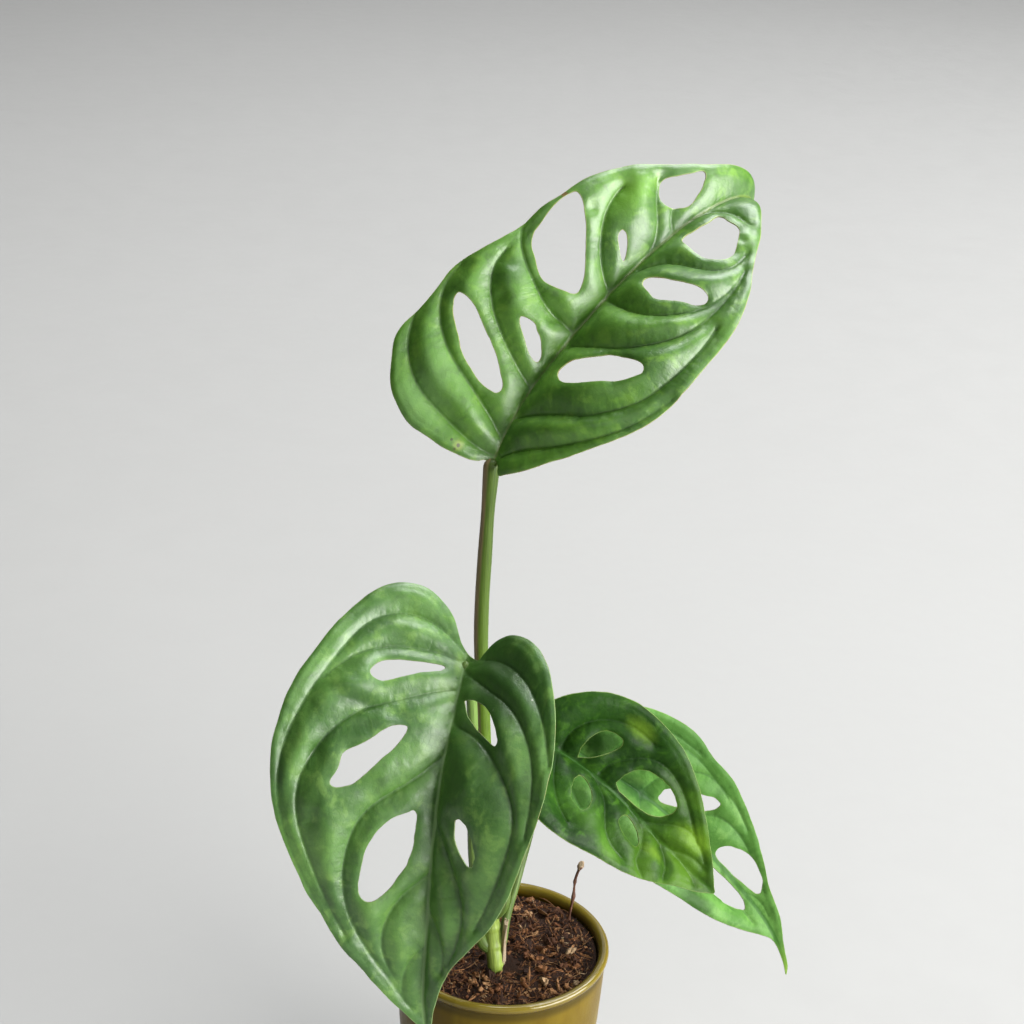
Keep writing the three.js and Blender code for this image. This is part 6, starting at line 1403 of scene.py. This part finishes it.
def sheath():
    z0, high, nv, na = 65.4, 17.6, 56, 40
    rr = np.random.default_rng(5)
    jag = np.interp(np.linspace(0, 1, na + 1), np.linspace(0, 1, 12), rr.uniform(0, 1, 12))
    outer, inner, at = [], [], []
    for i in range(nv + 1):
        v = i / nv
        for j in range(na + 1):
            w = j / na
            vv = v * (1 - 0.16 * jag[j] * v ** 3)
            half = 25.0 * (1 - 0.80 * vv ** 1.6)
            mid = -18.0 + 6.0 * vv
            a = math.radians(mid + (2 * w - 1) * half * (1 + 0.06 * math.sin(9 * vv + 2)))
            z = z0 + high * vv
            k = (z - 38.0) / 59.0
            cx, cy = -0.2 - 4.55 * k, -7.4 - 0.6 * k - 1.2 * math.exp(-((z - 65.0) / 6.5) ** 2)
            curl = 0.9 * (2 * w - 1) ** 4 * (0.4 + vv) + 1.1 * vv ** 3
            r = 3.62 + curl + 0.16 * math.sin(14 * w + 3 * vv) + 0.10 * math.sin(31 * w - 4 * vv)
            t = 0.11 + 0.07 * math.sin(math.pi * w)
            n = (math.cos(a), math.sin(a))
            outer.append((cx + n[0] * (r + t), cy + n[1] * (r + t), z))
            inner.append((cx + n[0] * (r - t), cy + n[1] * (r - t), z))
            at.append((w * 6, vv * 18, 0.0))
    n = len(outer)
    f = []
    W = na + 1
    for i in range(nv):
        for j in range(na):
            a, b, c, d = i * W + j, i * W + j + 1, (i + 1) * W + j + 1, (i + 1) * W + j
            f += [(a, b, c, d), (n + a, n + d, n + c, n + b)]
    loop = [j for j in range(W)] + [i * W + na for i in range(1, nv + 1)] + [nv * W + j for j in range(na - 1, -1, -1)] + [i * W for i in range(nv - 1, 0, -1)]
    for x, y in zip(loop, loop[1:] + loop[:1]):
        f.append((y, x, n + x, n + y))
    ob = make_mesh("sheath_paper", outer + inner, f, [paper_skin("dried_sheath")], None, dict(round=np.array(at + at)))
    return add_piece(ob, ["sheath"])


sheath()

# dry root that stands out of the mix -------------------------------

DRY = [(22, 18.6, 53), (22.9, 19, 64.3), (23.9, 19.5, 72.2), (24.3, 20.1, 79.2), (25.9, 20.6, 84.8)]


def dry_radius(u):
    return 0.62 + 0.14 * math.sin(23 * u) * 0.5 + bumps(u, (0.33, 0.62, 0.80), 0.22, 0.03) - 0.25 * u + 0.75 * math.exp(-((u - 0.985) / 0.028) ** 2)


DRY_SKIN = root_skin("dry_root_skin", (0.070, 0.026, 0.014), (0.165, 0.070, 0.036))
KNOB_SKIN = root_skin("dry_root_knob", (0.40, 0.27, 0.16), (0.58, 0.45, 0.30))
stalk("dry_root_twig", DRY, dry_radius, [DRY_SKIN], "dry_root", 18, 0.5, lambda u, q: 1 + 0.10 * math.cos(3 * q + 12 * u))
stalk("dry_root_knob", [(25.62, 20.5, 83.9), (25.9, 20.6, 84.8), (26.3, 20.72, 85.7)], lambda u: 0.84 + 0.24 * math.sin(math.pi * u) + 0.05 * math.sin(17 * u),
      [KNOB_SKIN], None, 18, 0.22, lambda u, q: 1 + 0.12 * math.cos(3 * q + 5 * u) + 0.06 * math.cos(7 * q))

# pot and potting mix -----------------------------------------------

pot([glaze("mustard_glaze", 0.13, 0.5), bare_clay("bare_clay"), glaze("mustard_glaze_wall", 0.34, 0.15)])
KEEP_OFF = [(-2.0, -7.6, 2.75), (22.5, 18.9, 0.9)]
soil_skin([mix_skin("peat", (0.022, 0.010, 0.006), (0.085, 0.034, 0.016), (0.19, 0.082, 0.036))], KEEP_OFF)
crumbs([crumb_skin("peat_crumbs")], KEEP_OFF)
fibres([crumb_skin("coir")], KEEP_OFF)
plug = mix_skin("peat_plug", (0.030, 0.014, 0.008), (0.070, 0.030, 0.016), (0.12, 0.055, 0.028))
roots = root_skin("root_skin", (0.34, 0.24, 0.13), (0.50, 0.39, 0.24))
for node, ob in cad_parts.items():
    m = plug if node == "soil" else roots if node.startswith("root_") else None
    if m:
        ob.data.materials.clear()
        ob.data.materials.append(m)

# ---------------------------------------------------------------- studio

cam = bpy.data.cameras.new("camera")
cam.lens, cam.sensor_width, cam.sensor_fit = 73.55, 36.0, "HORIZONTAL"
cam.clip_end = 200.0
p, roll = math.radians(24.398), math.radians(2.451)
ahead = np.array((0.0, math.cos(p), -math.sin(p)))
right = np.array((1.0, 0.0, 0.0))
upward = np.cross(right, ahead)
cx, cy = right * math.cos(roll) + upward * math.sin(roll), upward * math.cos(roll) - right * math.sin(roll)
co = bpy.data.objects.new("camera", cam)
M = Matrix.Identity(4)
for i in range(3):
    M[i][0], M[i][1], M[i][2] = cx[i], cy[i], -ahead[i]
M[0][3], M[1][3], M[2][3] = -0.00255, -0.57676, 0.48622
co.matrix_world = M
bpy.context.scene.collection.objects.link(co)
bpy.context.scene.camera = co

me = bpy.data.meshes.new("studio_floor")
w = 72.0
n = 24
grid = [(-w / 2 + w * i / n, -w / 2 + w * j / n, 0.0) for j in range(n + 1) for i in range(n + 1)]
quads = [(j * (n + 1) + i, j * (n + 1) + i + 1, (j + 1) * (n + 1) + i + 1, (j + 1) * (n + 1) + i) for j in range(n) for i in range(n)]
me.from_pydata(grid, [], quads)
me.materials.append(floor_skin())
fl = bpy.data.objects.new("studio_floor", me)
bpy.context.scene.collection.objects.link(fl)


def heading(az, el):
    a, e = math.radians(az), math.radians(el)
    return (math.cos(a) * math.cos(e), math.sin(a) * math.cos(e), math.sin(e))


def softbox(name, az, el, away, wide, tall, power, aim=(0.0, 0.0, 0.17), tint=(1, 1, 1)):
    """A big soft light like a window: azimuth 0 is to the right of the plant, -90 toward the viewer."""
    L = bpy.data.lights.new(name, "AREA")
    L.shape, L.size, L.size_y, L.energy, L.color = "RECTANGLE", wide, tall, power, tint
    ob = bpy.data.objects.new(name, L)
    d = Vector(heading(az, el))
    ob.location = Vector(aim) + d * away
    ob.rotation_euler = d.to_track_quat("Z", "Y").to_euler()
    bpy.context.scene.collection.objects.link(ob)


softbox("window", -25, 13, 2.5, 2.6, 1.7, 210, tint=(1.0, 0.99, 0.97))
softbox("high_back", 50, 60, 2.5, 1.7, 1.7, 115, tint=(0.97, 0.99, 1.0))
softbox("fill", -100, 40, 2.5, 1.9, 1.9, 12)
softbox("backdrop", 90, 62, 3.2, 4.0, 2.4, 34, aim=(0.0, 3.4, 0.0))

world = bpy.data.worlds.new("studio")
bpy.context.scene.world = world
world.use_nodes = True
bg = world.node_tree.nodes["Background"]
bg.inputs["Color"].default_value = (0.93, 0.97, 1.0, 1)
bg.inputs["Strength"].default_value = 0.03
bpy.context.scene.view_settings.view_transform = "Standard"

bpy.context.view_layer.update()
